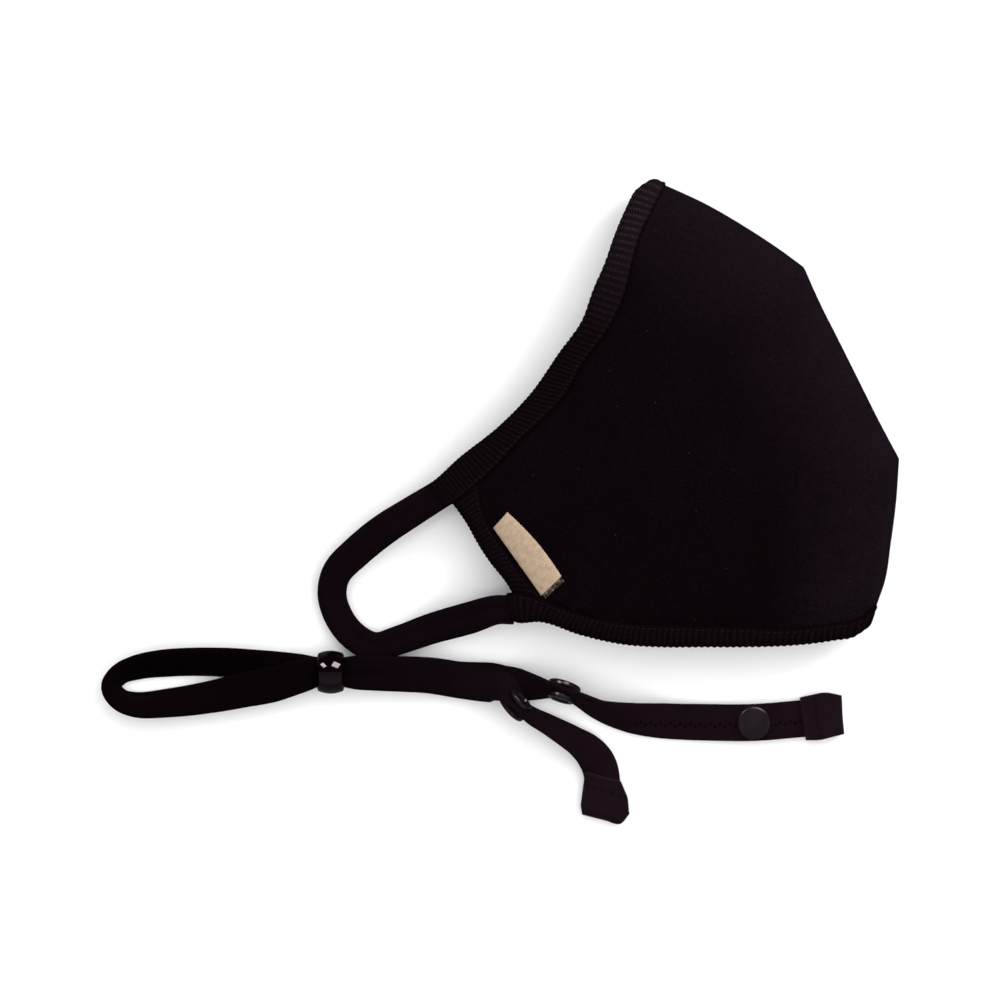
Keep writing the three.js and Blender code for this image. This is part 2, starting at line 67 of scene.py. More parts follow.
bpy.ops.object.camera_add(location=(0, 0, CAMERA_HEIGHT), rotation=(0, 0, 0))
camera = bpy.context.object
camera.name = "camera"
camera.data.sensor_width = SENSOR
camera.data.lens = SENSOR * (CAMERA_HEIGHT - VIEW_HEIGHT_Z) / VIEW_WIDTH
camera.data.clip_start = 0.1
camera.data.clip_end = 20.0
bpy.context.scene.camera = camera
print("lens in mm:", round(camera.data.lens, 1))

# %% [markdown]
# ## Nodes
# Colours are picked as hex values, as in any paint program, and turned to the linear values that
# shaders work with. One function adds any node, with its settings and all that feeds it, so that a
# material reads as a list of steps.

# %% Helpers for nodes
def linear(hex_colour):
    """An sRGB hex colour as the linear RGBA that Blender's shaders expect."""
    channels = [int(hex_colour[i:i + 2], 16) / 255 for i in (1, 3, 5)]
    return [c / 12.92 if c <= 0.04045 else ((c + 0.055) / 1.055) ** 2.4 for c in channels] + [1.0]


def first_output(node):
    """The first output that the node's settings leave in use."""
    return next(output for output in node.outputs if output.enabled)


def add_node(owner, kind, inputs=(), stops=(), **settings):
    """Adds one node. inputs holds its sockets, by name or in their order: each gets a value, or is fed by
    a socket or by a node's first output. A second word in kind is the node's operation, and stops are a
    colour ramp's positions and hex colours."""
    kind, _, operation = kind.partition(" ")
    node = owner.node_tree.nodes.new("ShaderNode" + kind)
    if operation:
        node.operation = operation
    for key, value in settings.items():
        setattr(node, key, value)
    for key, source in inputs.items() if isinstance(inputs, dict) else enumerate(inputs):
        if isinstance(source, bpy.types.Node):
            source = first_output(source)
        if isinstance(source, bpy.types.NodeSocket):
            owner.node_tree.links.new(source, node.inputs[key])
        else:
            node.inputs[key].default_value = source
    for _ in stops[2:]:
        node.color_ramp.elements.new(0.5)
    for step, (position, colour) in enumerate(stops):
        node.color_ramp.elements[step].position = position
        node.color_ramp.elements[step].color = linear(colour)
    return node


def new_material(name, **settings):
    """A material with a Principled shader; settings are sockets that stay the same all over."""
    material = bpy.data.materials.new(name)
    material.use_nodes = True
    for key, value in settings.items():
        material.node_tree.nodes["Principled BSDF"].inputs[key.replace("_", " ")].default_value = value
    return material


def feed_shader(material, colour, height, strength, depth_mm, roughness=None):
    """Ends a material: its colour, a bump of the height at a depth in mm, and any uneven roughness."""
    bump = add_node(material, "Bump", {"Height": height, "Strength": strength, "Distance": depth_mm * MM})
    shader = material.node_tree.nodes["Principled BSDF"]
    for key, node in (("Base Color", colour), ("Normal", bump), ("Roughness", roughness)):
        if node:
            material.node_tree.links.new(first_output(node), shader.inputs[key])

# %% [markdown]
# ## Table and light
# The cloth is nearly black, so the light has to be broad and strong enough for a white table while
# the cloth keeps its shape. A large panel overhead does most of that, and a small low key by the nose
# brings out the ribs there. These two and the table are hidden from mirror-like reflections, or they
# would turn the black bead grey. Two windows do the opposite: only mirrors see them, as two bright
# spots on the bead's shoulders, so they cast no shadow. A dim board behind the viewer draws a crisp
# edge along the bead's middle.

# %% Table
bpy.ops.mesh.primitive_plane_add(size=6.0, location=(0, 0, 0))
table = bpy.context.object
table.name = "table"
table.data.materials.append(new_material("matt white table", Base_Color=linear("#F4F4F4"), Roughness=0.9,
                                         Specular_IOR_Level=0.2))


# %% Lights
def soft_light(name, place, aim, size, watts):
    """A rectangular soft box at place that faces aim, both in metres."""
    bpy.ops.object.light_add(type="AREA", location=place)
    light = bpy.context.object
    light.name = name
    light.data.shape = "RECTANGLE"
    light.data.size, light.data.size_y = size
    light.data.energy = watts
    light.rotation_euler = (Vector(aim) - Vector(place)).to_track_quat("-Z", "Y").to_euler()
    return light


sky = soft_light("sky panel", (0.1, 0.2, 1.9), (0, 0, 0), (4.4, 4.4), 120.0)
nose_key = soft_light("nose key", (0.46, 0.32, 0.27), (0.05, 0.03, 0), (0.30, 0.30), 2.2)
windows = [soft_light("right window", (0.34, 0.68, 0.78), (-0.03, -0.03, 0), (0.54, 0.56), 17.0),
           soft_light("left window", (-0.56, 0.62, 0.72), (-0.03, -0.03, 0), (0.26, 0.50), 8.0)]
soft_light("low board", (0, -1.9, 1.6), (0, -1.9, 0), (6.0, 3.8), 13.5)
for unseen in (sky, nose_key, table):
    unseen.visible_glossy = False
for mirrored in windows:
    mirrored.visible_diffuse = False

# %% World
# A dim room, lighter towards the floor and behind the viewer's feet.
LEAN = 0.8                       # how much further back the lighter half lies, for each step down

room = bpy.data.worlds.new("studio")
bpy.context.scene.world = room
room.use_nodes = True
direction = add_node(room, "SeparateXYZ", {"Vector": add_node(room, "TexCoord").outputs["Generated"]})
upwards = add_node(room, "Math MULTIPLY_ADD", (direction.outputs["Y"], LEAN, direction.outputs["Z"]))
dome = add_node(room, "ValToRGB", {"Fac": upwards}, stops=((0.2, "#707070"), (0.8, "#222222")))
room.node_tree.links.new(dome.outputs["Color"], room.node_tree.nodes["Background"].inputs["Color"])
bpy.context.scene.view_settings.view_transform = "Standard"
print("world:", room.name, len(room.node_tree.nodes), "nodes")

# %% [markdown]
# ## Cloth helpers
# A flat grid is the cut piece. `lay` moves each of its points from (share of the length, share of the
# width) to its place on the route, and keeps both in millimetres as the UV map, so a pattern drawn on
# UV has real thread spacing wherever the cloth bends. It then sews the grid's edges together where they
# meet, so that each piece of cloth is a closed solid.

# %% Picking what an operator acts on
def deselect():
    """Nothing is selected, so the next operator acts only on what it makes."""
    if bpy.context.object and bpy.context.object.mode != "OBJECT":
        bpy.ops.object.mode_set(mode="OBJECT")
    bpy.ops.object.select_all(action="DESELECT")


def pick(piece, mode="OBJECT"):
    """Makes one piece the only one that operators act on."""
    deselect()
    piece.select_set(True)
    bpy.context.view_layer.objects.active = piece
    bpy.ops.object.mode_set(mode=mode)


def turn_faces_out():
    """Points all faces of the piece in edit mode outwards, and leaves edit mode."""
    bpy.ops.mesh.select_all(action="SELECT")
    bpy.ops.mesh.normals_make_consistent(inside=False)
    bpy.ops.object.mode_set(mode="OBJECT")


# %% Grid cut flat, laid in place and sewn
FLOOR_CLEARANCE = 0.01           # mm; the table flattens what rests on it
SEWN_WITHIN = 0.02               # mm between points that are sewn into one


def lay(name, lengthwise, crosswise, route, open_sides=False):
    """A grid of lengthwise by crosswise cells; route(u, v) gives its points and its UV, both in mm.
    open_sides says that two sides stay open after sewing, and are closed with one face each."""
    deselect()
    bpy.ops.mesh.primitive_grid_add(x_subdivisions=lengthwise, y_subdivisions=crosswise, size=1.0)
    piece = bpy.context.object
    piece.name = piece.data.name = name
    flat = np.zeros(len(piece.data.vertices) * 3)
    piece.data.vertices.foreach_get("co", flat)
    u, v = flat[0::3] + 0.5, flat[1::3] + 0.5
    points, pattern = route(u, v)
    points[:, 2] = np.maximum(points[:, 2], FLOOR_CLEARANCE)
    piece.data.vertices.foreach_set("co", (points * MM).astype(np.float32).ravel())
    corners = np.zeros(len(piece.data.loops), dtype=np.int32)
    piece.data.loops.foreach_get("vertex_index", corners)
    piece.data.uv_layers.active.data.foreach_set("uv", pattern[corners].astype(np.float32).ravel())
    piece.data.update()
    pick(piece, "EDIT")
    bpy.ops.mesh.select_all(action="SELECT")
    bpy.ops.mesh.remove_doubles(threshold=SEWN_WITHIN * MM)
    if open_sides:
        bpy.ops.mesh.normals_make_consistent(inside=False)
        bpy.ops.mesh.select_all(action="DESELECT")
        bpy.ops.mesh.select_non_manifold(extend=False, use_wire=False, use_multi_face=False,
                                         use_non_contiguous=False, use_verts=False)
        bpy.ops.mesh.edge_face_add()
    turn_faces_out()
    bpy.ops.object.shade_smooth()
    return piece


# %% Lengths, directions and rounded edges
def arc_shares(rows):
    """How far along its own length each row of points lies, from 0 to 1."""
    steps = np.linalg.norm(np.diff(np.asarray(rows, dtype=float), axis=0), axis=1)
    return np.concatenate([[0], np.cumsum(steps)]) / steps.sum()


def unit(vectors):
    """Each row scaled to length 1."""
    return vectors / np.linalg.norm(vectors, axis=1)[:, None]


def rounded(distance, run):
    """From 0 at an edge to 1 at a distance of run and beyond, as a quarter circle."""
    return np.sqrt(np.clip(1 - (1 - np.clip(distance / run, 0, 1)) ** 2, 0, 1))


def dent(distance, spread):
    """1 where distance is 0, fading to 0 on both sides."""
    return np.exp(-(distance / spread) ** 2)

# %% [markdown]
# ## The outline of the mask
# The mask is two mirrored cloth panels, so its cut follows from a few edges seen from the side: the
# face edge, the chin edge, the centre seam and the short edge at the ear. They are repeated here from
# the construction, in millimetres. The bead's place tells where that drawing lies in the frame.

# %% Edges of the cut
bead_low, bead_high = (np.array(corner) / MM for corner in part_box("strap_bead"))
BEAD_DRAWN = np.array([-47.6, -47.9])
SHIFT = (bead_low + bead_high)[:2] / 2 - BEAD_DRAWN

# Each row: fold x, fold y, inner edge x, inner edge y, from the nose or the seam to the ear.
FACE_EDGE = np.array([
    (41.4, 90.2, 46.2, 88.4), (38.1, 87.2, 44.2, 84.7), (35.0, 81.6, 41.7, 79.7),
    (31.9, 74.3, 38.6, 72.9), (29.3, 66.8, 36.4, 64.8), (26.0, 59.2, 34.2, 56.4),
    (22.7, 50.3, 30.0, 47.7), (16.5, 41.6, 23.5, 38.8), (8.7, 30.4, 17.1, 28.4),
    (-0.8, 20.6, 5.9, 17.2), (-11.8, 11.9, -6.2, 4.9), (-19.0, 5.5, -13.4, -0.7)])
CHIN_EDGE = np.array([
    (102.8, -36.0, 105.3, -29.0), (98.6, -37.9, 99.7, -32.5), (93.2, -38.9, 93.5, -33.9),
    (85.7, -39.9, 86.2, -35.0), (77.0, -40.5, 77.4, -35.6), (67.2, -40.7, 67.2, -35.1),
    (56.0, -40.7, 56.0, -34.9), (44.8, -40.7, 45.1, -34.6), (33.6, -39.9, 34.7, -33.9),
    (22.4, -37.4, 24.6, -32.2), (10.6, -33.7, 12.6, -27.9), (4.5, -33.9, 3.2, -25.6)])
SEAM = np.array([
    (46.2, 88.4), (57.1, 83.3), (68.6, 76.6), (78.7, 69.9), (84.8, 65.4), (89.0, 55.9), (94.6, 44.7),
    (100.2, 33.5), (105.8, 22.3), (111.4, 11.9), (110.6, -0.1), (109.2, -11.3), (107.5, -22.5),
    (105.3, -29.0)])
SEAM_CORNERS = (4, 9)                # the seam turns sharply over the mouth and under it
EAR_EDGE = np.array([
    (-13.4, -0.7, -6.2, 4.9), (-9.8, -5.7, -5.0, -2.5), (-6.7, -11.3, -2.4, -8.0),
    (-3.1, -16.9, 1.9, -14.5), (1.4, -22.5, 6.9, -21.6), (3.2, -25.6, 12.6, -27.9)])
EDGE_SHARES = np.array([0, 0.07, 0.15, 0.24, 0.34, 0.44, 0.55, 0.66, 0.78, 0.89, 1])
PANEL_ROWS = len(EDGE_SHARES)        # the bindings have one more row, past the corner of the panel
for table_rows in (FACE_EDGE, CHIN_EDGE, EAR_EDGE):
    table_rows += np.tile(SHIFT, 2)
SEAM += SHIFT
print("drawing shifted by", np.round(SHIFT, 2), "mm")

# %% The cloth's surface
CLOTH_WALL = 2.0                     # mm, as are all lengths below
KNIT_WALL = 0.8
GAP = 0.3
SEAM_Z = 9.0
SEAM_ARCH = 4.0                      # how much higher the seam lies at the mouth
CROWN = 9.0                          # of the upper panel over the seam, at the nose and the chin
MOUTH_CROWN = 7.0                    # more of it at the mouth
EAR_DROOP = 0.25                     # share of the crown that is lost towards the ear
CROWN_REACH = 0.6                    # share of the panel over which it rises
CROWN_CURVE = 0.8                    # below 1, it rises steeply at first
FLOOR_REACH = 0.37                   # share over which the lower panel falls to the table
FLOOR_CURVE = 1.7                    # above 1, it falls steeply at first
HEM_REACH = 0.08, 0.11               # shares beside its long edges and the ear that the bindings lift
HEM_LIFT = KNIT_WALL + GAP + 0.1     # so that the binding below it clears the table
SMALL_STEP = 0.004                   # share of the panel, to measure directions by
LEFT, RIGHT = -1, 1


def smooth_table(rows, knots, corners=()):
    """A function of 0..1 that runs through the rows with no kinks, except at the listed corners."""
    rows = np.asarray(rows, dtype=float)
    knots = np.asarray(knots, dtype=float)
    before = np.gradient(rows, knots, axis=0)
    after = before.copy()
    for i in corners:
        before[i] = (rows[i] - rows[i - 1]) / (knots[i] - knots[i - 1])
        after[i] = (rows[i + 1] - rows[i]) / (knots[i + 1] - knots[i])

    def at(share):
        share = np.clip(share, knots[0], knots[-1])
        i = np.clip(np.searchsorted(knots, share, side="right") - 1, 0, len(knots) - 2)
        width = (knots[i + 1] - knots[i])[:, None]
        x = (share - knots[i])[:, None] / width
        return (rows[i] * (2 * x**3 - 3 * x**2 + 1) + after[i] * width * (x**3 - 2 * x**2 + x)
                + rows[i + 1] * (3 * x**2 - 2 * x**3) + before[i + 1] * width * (x**3 - x**2))

    return at


face_edge = smooth_table(FACE_EDGE[:PANEL_ROWS], EDGE_SHARES)
chin_edge = smooth_table(CHIN_EDGE[:PANEL_ROWS], EDGE_SHARES)
seam_edge = smooth_table(SEAM, arc_shares(SEAM), SEAM_CORNERS)
ear_edge = smooth_table(EAR_EDGE, np.linspace(0, 1, len(EAR_EDGE)))


def cloth_height(side, s, t):
    """Height of the cloth's middle, for s from seam to ear and t from nose to chin."""
    arch = np.sin(np.pi * t) * (1 - s * s)
    seam_z = SEAM_Z + SEAM_ARCH * arch
    if side == LEFT:
        fall = (1 - np.minimum(1, s / FLOOR_REACH)) ** FLOOR_CURVE
        near_edge = np.minimum(np.minimum(t, 1 - t) / HEM_REACH[0], (1 - s) / HEM_REACH[1])
        hem_lift = HEM_LIFT * np.clip(1 - near_edge, 0, 1)
        return np.maximum(CLOTH_WALL / 2 + hem_lift, seam_z * fall)
    crown = (1 - (1 - np.minimum(1, s / CROWN_REACH)) ** 2) ** CROWN_CURVE
    return seam_z + (CROWN + MOUTH_CROWN * arch) * crown * (1 - EAR_DROOP * s ** 3)


def cloth_middle(side, s, t):
    """The middle of the cloth in millimetres. Outside 0..1 it runs on under the bindings."""
    si, ti = np.clip(s, 0, 1), np.clip(t, 0, 1)
    top, bottom = face_edge(si), chin_edge(si)
    rim, ear = seam_edge(ti), ear_edge(ti)
    a, b = si[:, None], ti[:, None]
    last = PANEL_ROWS - 1
    corners = ((1 - b) * ((1 - a) * FACE_EDGE[0, 2:] + a * FACE_EDGE[last, 2:])
               + b * ((1 - a) * CHIN_EDGE[0, 2:] + a * CHIN_EDGE[last, 2:]))
    plan = (1 - b) * top[:, 2:] + b * bottom[:, 2:] + (1 - a) * rim + a * ear[:, 2:] - corners
    for past_edge, edge in ((-t, top), (t - 1, bottom), (s - 1, ear)):
        plan = plan + np.clip(past_edge, 0, None)[:, None] * (edge[:, :2] - edge[:, 2:])
    return np.column_stack([plan, cloth_height(side, si, ti)])


def cloth_normal(side, s, t):
    """Unit normals that point away from the inside of the cup."""
    over = cloth_middle(side, s + SMALL_STEP, t) - cloth_middle(side, s - SMALL_STEP, t)
    down = cloth_middle(side, s, t + SMALL_STEP) - cloth_middle(side, s, t - SMALL_STEP)
    normal = unit(np.cross(down, over))
    return normal * np.sign(normal[:, 2:]) * side


half_way = np.array([0.5])
print("cup height over the mouth in mm:", np.round(cloth_middle(RIGHT, half_way, half_way)[0, 2], 1))

# %% [markdown]
# ## The two panels
# A panel is one piece of padded microfibre cloth about 2 mm thick. It could be a thin sheet, but at the
# centre seam its cut edge turns in and shows its thickness. So the grid is wrapped: it runs down the
# outside of the cloth, round the seam edge and back along the inside, and is sewn shut at the rim.
# Real panels are stiff and held at all four edges, so no cloth simulation is needed to find how they
# hang. The topstitching draws the cloth in slightly beside the bindings.

# %% Panels
PANEL_LENGTHWISE = 230
PANEL_CROSSWISE = 300
UNDER_BINDING = 0.55                 # how far the cloth reaches into the binding, as a share of its width
RIM_SHARE = 0.012                    # share of the piece over which its cut edge is rounded
SEAM_TURN = 0.06                     # share of the panel over which it turns in towards the seam
SEAM_INSET = 1.1                     # how far it turns in, where 1 is half its thickness
SEAM_CROWDING = 1.35                 # above 1, the points lie closer together towards the seam
FIELD = 0.04, 0.96                   # shares of the grid between which no binding covers the cloth
PANEL_SPAN = 100.0, 110.0            # mm from nose to chin and from seam to ear, roughly
DIP_DEPTH = 0.35                     # mm beside the bindings
DIP_LINE, DIP_WIDTH = 0.5, 2.2       # mm from the binding, and to each side of that
PUCKER_HEIGHT = 0.10                 # mm of the cloth's small waves beside the bindings
PUCKER_REACH = 5.0                   # mm within which they die away
SWELL_HEIGHT = 0.25                  # mm of its wide, soft unevenness


def relief(s, t):
    """Low relief in mm: a dip beside the binding, and the soft unevenness of padded cloth."""
    edge_mm = np.minimum(np.minimum(t, 1 - t) * PANEL_SPAN[0], (1 - s) * PANEL_SPAN[1])
    edge_mm = np.clip(edge_mm, 0, None)
    dip = DIP_DEPTH * dent(edge_mm - DIP_LINE, DIP_WIDTH)
    pucker = PUCKER_HEIGHT * np.exp(-edge_mm / PUCKER_REACH) * np.sin(s * 96 + t * 70)
    swell = SWELL_HEIGHT * np.sin(s * 7.1 + t * 3.3) * np.sin(t * 6.3 - s * 2.2)
    return pucker + swell - dip


def panel_route(side):
    def route(u, v):
        # Most of the length is the field; the two margins under the bindings are short.
        t = np.interp(u, [0, *FIELD, 1], [-UNDER_BINDING, 0, 1, 1 + UNDER_BINDING])
        outside = v <= 0.5
        run = np.where(outside, 1 - 2 * v, 2 * v - 1)        # 1 at the rim, 0 at the seam
        s = np.interp(np.clip(run, 0, 1) ** SEAM_CROWDING, [0, FIELD[1], 1], [0, 1, 1 + UNDER_BINDING])
        half = CLOTH_WALL / 2
        rim = np.clip(np.minimum(1 - run, np.minimum(u, 1 - u)) / RIM_SHARE, 0, 1)
        reach = np.where(outside, half, -half) * np.sqrt(1 - (1 - rim) ** 2)
        middle = cloth_middle(side, s, t)
        normal = cloth_normal(side, s, t)
        at_seam = np.clip(t, 0, 1)
        seam_step = seam_edge(at_seam + SMALL_STEP) - seam_edge(at_seam - SMALL_STEP)
        inward = unit(np.column_stack([seam_step[:, 1], -seam_step[:, 0], np.zeros(len(u))]))
        near_seam = np.clip(1 - s / SEAM_TURN, 0, 1)[:, None]
        near_seam = near_seam ** 2 * (3 - 2 * near_seam)
        turned = inward * ((half - reach) * SEAM_INSET)[:, None]
        points = middle + (1 - near_seam) * normal * reach[:, None] + near_seam * turned
        points[:, 2] += side * GAP / 2 * near_seam[:, 0]
        points += normal * (relief(s, t) * outside * (1 - near_seam[:, 0]) * rim)[:, None]
        return points, middle[:, :2]
    return route


panels = {}
for name, side in (("right", RIGHT), ("left", LEFT)):
    panels[name] = lay(f"cloth_panel_{name}", PANEL_LENGTHWISE, PANEL_CROSSWISE, panel_route(side))
    print(panels[name].name, "points:", len(panels[name].data.vertices))

# %% [markdown]
# ## The rib-knit bindings
# A binding is a strip of rib knit folded over the raw edge of the cloth and topstitched. Its ribs run
# across the edge, so they scallop its outline. A bump map can't change an outline, so the ribs are
# real relief: the grid is sampled finely along the strip, and each rib lifts it a little.

# %% Section of a folded strip
FOLD_BACK = 0.16                     # share of the width at which the inner wall of the fold lies


def fold_section(steps=17, inner_steps=5):
    """The closed section of a folded strip. Each row: share of the width, which wall and how far out it
    lies (1 and -1 outside, 0.5 and -0.5 inside), and the share of the width that is passed, laid flat."""
    q = (1 - np.cos(np.pi * np.linspace(0, 1, steps))) / 2
    from_fold = 1 - q                                       # 1 at the open edge, 0 at the fold
    top = [(f, 1.0, 1 - f) for f in from_fold]
    bottom = [(f, -1.0, 1 + f) for f in from_fold[::-1][1:]]
    back = [(f, -0.5, 2.0) for f in np.linspace(1, FOLD_BACK, inner_steps)]
    forth = [(f, 0.5, 2.0) for f in np.linspace(FOLD_BACK, 1, inner_steps)]
    return np.array(top + bottom + back + forth + top[:1])


SECTION = fold_section()


def section_at(v):
    """The section's rows for shares v of its outline, and which of them are on the outside."""
    key = SECTION[np.rint(v * (len(SECTION) - 1)).astype(int)]
    return key[:, 0], key[:, 1], key[:, 2], np.abs(key[:, 1]) == 1


# %% Folded strip with ribs
FOLD_RUN = 2.6                       # mm over which the fold is rounded
EDGE_RUN = 0.6                       # mm over which the open edge is rounded
GROOVE_LINE = 1.75                   # mm from the open edge, where the topstitching sinks in
GROOVE_DEPTH = 0.22
PRESSED_LINE = 1.6                   # mm from the open edge, within which stitching flattens the ribs
PRESSED_RIBS = 0.35                  # how much of them is left there
CELLS_PER_MM = 4.0


def lay_strip(name, stations, rib_pitch, rib_height, fade=9.0):
    """Sweeps the folded section along stations (place, across, normal, width, puff), in mm, with ribs
    that flatten over the last fade mm at each end."""
    place = stations[0]
    length = np.linalg.norm(np.diff(place, axis=0), axis=1).sum()
    along = smooth_table(np.column_stack(stations), arc_shares(place))
    dense = np.linspace(0, 1, 2000)
    fold_run = np.concatenate([[0], np.cumsum(np.linalg.norm(np.diff(along(dense)[:, :3], axis=0), axis=1))])
    ribs = np.concatenate([[0], np.cumsum(np.diff(fold_run) / rib_pitch((dense[1:] + dense[:-1]) / 2))])

    def route(u, v):
        at = along(u)
        spot, over, up = at[:, :3], unit(at[:, 3:6]), unit(at[:, 6:9])
        wide, puff = at[:, 9], at[:, 10]
        share, wall, laid_flat, is_outer = section_at(v)
        out = (CLOTH_WALL / 2 + GAP + KNIT_WALL) * puff
        hollow = (CLOTH_WALL / 2 + 0.12) * puff
        a = share * wide
        from_open = wide - a
        fold, open_edge = rounded(a, FOLD_RUN), rounded(from_open, EDGE_RUN)
        rib = (0.5 + 0.5 * np.cos(2 * np.pi * np.interp(u, dense, ribs))) ** 0.75 - 0.5
        rib = rib * rib_height * np.clip(np.minimum(u, 1 - u) * length / fade, 0.1, 1)
        pressed = np.clip((from_open - PRESSED_LINE) / 0.5, PRESSED_RIBS, 1)
        lift = (rib * pressed - GROOVE_DEPTH * dent(from_open - GROOVE_LINE, 0.28)) * open_edge
        height = hollow + (out * fold - hollow) * open_edge
        n = np.where(is_outer, height + lift * fold, hollow * np.minimum(1, a / (0.3 * wide)) ** 0.5)
        a = np.where(is_outer, a - rib * (1 - fold), a + 0.25 * from_open)
        points = spot + over * a[:, None] + up * (np.sign(wall) * n)[:, None]
        return points, np.column_stack([np.interp(u, dense, ribs), laid_flat * wide])

    return lay(name, int(length * CELLS_PER_MM), len(SECTION) - 1, route)


# %% Upper and lower binding
# Each half runs on past the corner of the panel, over the end of the ear loop: how much further, in mm.
OVER_LOOP = {0: np.array([-1.5, -1.0, -1.6, -0.9]), 1: np.array([-2.2, 0.9, -1.6, -0.3])}
TURN_TUCK = {0: 1.7, 1: 2.0}         # how far the strip is drawn in where it turns round the seam


def edge_stations(table_rows, side, t):
    """Stations of one half of a binding, from the seam to the ear."""
    count = len(table_rows)
    s = np.append(EDGE_SHARES, np.ones(2))[:count]
    z = cloth_height(side, s, np.full(count, float(t)))
    place = np.column_stack([table_rows[:, :2], z])
    reach = np.column_stack([table_rows[:, 2:], z]) - place
    across = unit(reach)
    along = np.vstack([place[1:2] - place[:1], place[2:] - place[:-2], place[-1:] - place[-2:-1]])
    normal = unit(np.cross(along, across))
    normal *= np.sign(normal[:, 2:]) * side
    puff = np.ones(count)
    puff[1], puff[-2:] = 1.1, (0.92, 0.6)
    return place, across, normal, np.linalg.norm(reach, axis=1), puff


def whole_binding(table_rows, t):
    """Down the right panel, round the centre seam and up the left one, for t 0 at the nose or 1 at the
    chin."""
    table_rows = np.vstack([table_rows, table_rows[-1] + OVER_LOOP[t]])
    right, left = edge_stations(table_rows, RIGHT, t), edge_stations(table_rows, LEFT, t)
    (start_x, start_y), (end_x, end_y) = SEAM[:2] if t == 0 else SEAM[-2:]
    inward = unit(np.array([[end_y - start_y, start_x - end_x, 0.0]]))
    turn_place = right[0][:1] + inward * CLOTH_WALL / 2 * TURN_TUCK[t]
    turn_place[:, 2] = SEAM_Z
    turn = turn_place, right[1][:1], -inward, right[3][:1], np.array([1.15])
    return [np.concatenate([r[1:][::-1], m, l[1:]]) for r, m, l in zip(right, turn, left)]


def face_pitch(share):
    """Ribs are 2 mm apart at the nose, and closer on the stretched curve towards the ear."""
    return np.interp(np.abs(share - 0.5), [0, 0.16, 0.26, 0.5], [2.05, 2.0, 1.35, 1.25])


def chin_pitch(share):
    return np.interp(np.abs(share - 0.5), [0, 0.25, 0.5], [1.85, 1.75, 1.3])


upper_binding = lay_strip("upper_binding_knit", whole_binding(FACE_EDGE, 0), face_pitch, 0.34)
lower_binding = lay_strip("lower_binding_knit", whole_binding(CHIN_EDGE, 1), chin_pitch, 0.30)
print("faces in the upper binding:", len(upper_binding.data.polygons))


# %% Bindings along the ear edge
def ear_binding(name, side):
    """A shorter strip whose flattened ends are tucked into the upper and the lower binding."""
    puff = np.array([0.55, 0.8, 1, 1, 1, 1, 1, 0.8, 0.55])
    share = np.linspace(-0.02, 1.02, len(puff))
    edge = ear_edge(share)
    z = cloth_height(side, np.ones(len(puff)), share)
    place = np.column_stack([edge[:, :2], z])
    reach = np.column_stack([edge[:, 2:], z]) - place
    normal = np.tile([0.0, 0.0, side], (len(puff), 1))
    stations = place, unit(reach), normal, np.linalg.norm(reach, axis=1), puff
    return lay_strip(name, stations, lambda share: np.full_like(share, 1.25), 0.24, fade=1.0)


ear_bindings = {name: ear_binding(f"ear_binding_{name}_knit", side)
                for name, side in (("right", RIGHT), ("left", LEFT))}
print("faces in each ear binding:", [len(strip.data.polygons) for strip in ear_bindings.values()])

# %% [markdown]
# ## Tapes that follow a route: ear loops and head strap
# Both are flat knits that twist and bend freely. A curve with a bevelled profile would be quick, but it
# turns its profile by its own rule. Here each station gives its own lean, so the strap stands on edge
# at the snaps and lies flat at the ends, as the real one does. The edges of the jersey loop curl over
# and leave a valley along the middle; the elastic strap has a thick flat body with rounded sides.

# %% Routes of the tapes
def centripetal(rows):
    """The smooth curve through points that the construction uses, for shares of 0..1."""
    p = np.vstack([2 * rows[0] - rows[1], rows, 2 * rows[-1] - rows[-2]])
    gap = np.linalg.norm(np.diff(p, axis=0), axis=1) ** 0.5

    def at(share):
        x = np.clip(share, 0, 1) * (len(rows) - 1)
        i = np.minimum(x.astype(int), len(rows) - 2)
        w = (x - i)[:, None]
        p0, p1, p2, p3 = p[i], p[i + 1], p[i + 2], p[i + 3]
        d0, d1, d2 = gap[i][:, None], gap[i + 1][:, None], gap[i + 2][:, None]
        m1 = ((p1 - p0) / d0 - (p2 - p0) / (d0 + d1) + (p2 - p1) / d1) * d1
        m2 = ((p2 - p1) / d1 - (p3 - p1) / (d1 + d2) + (p3 - p2) / d2) * d1
        return p1 + m1 * w + (3 * (p2 - p1) - 2 * m1 - m2) * w**2 + (2 * (p1 - p2) + m1 + m2) * w**3

    return at


def tape_stations(rows, share, step=1e-4):
    """Place, across, normal and width at shares of the rows, which hold x, y, z, lean in degrees and
    width."""
    curve = centripetal(rows[:, :3])
    along = unit(curve(np.clip(share + step, 0, 1)) - curve(np.clip(share - step, 0, 1)))
    flat = unit(np.column_stack([-along[:, 1], along[:, 0], np.zeros(len(along))]))
    knots = np.linspace(0, 1, len(rows))
    lean = np.radians(np.interp(share, knots, rows[:, 3]))[:, None]
    across = flat * np.cos(lean) + np.cross(along, flat) * np.sin(lean)
    return curve(share), across, unit(np.cross(along, across)), np.interp(share, knots, rows[:, 4])


END_RUN = 0.9                        # mm over which the end of a tape is rounded
SIDE_POWER = 0.8                     # below 1, the points crowd less at a tape's two sides
BACK_STEP = 4.0                      # mm between the patterns of the face and the back of a tape


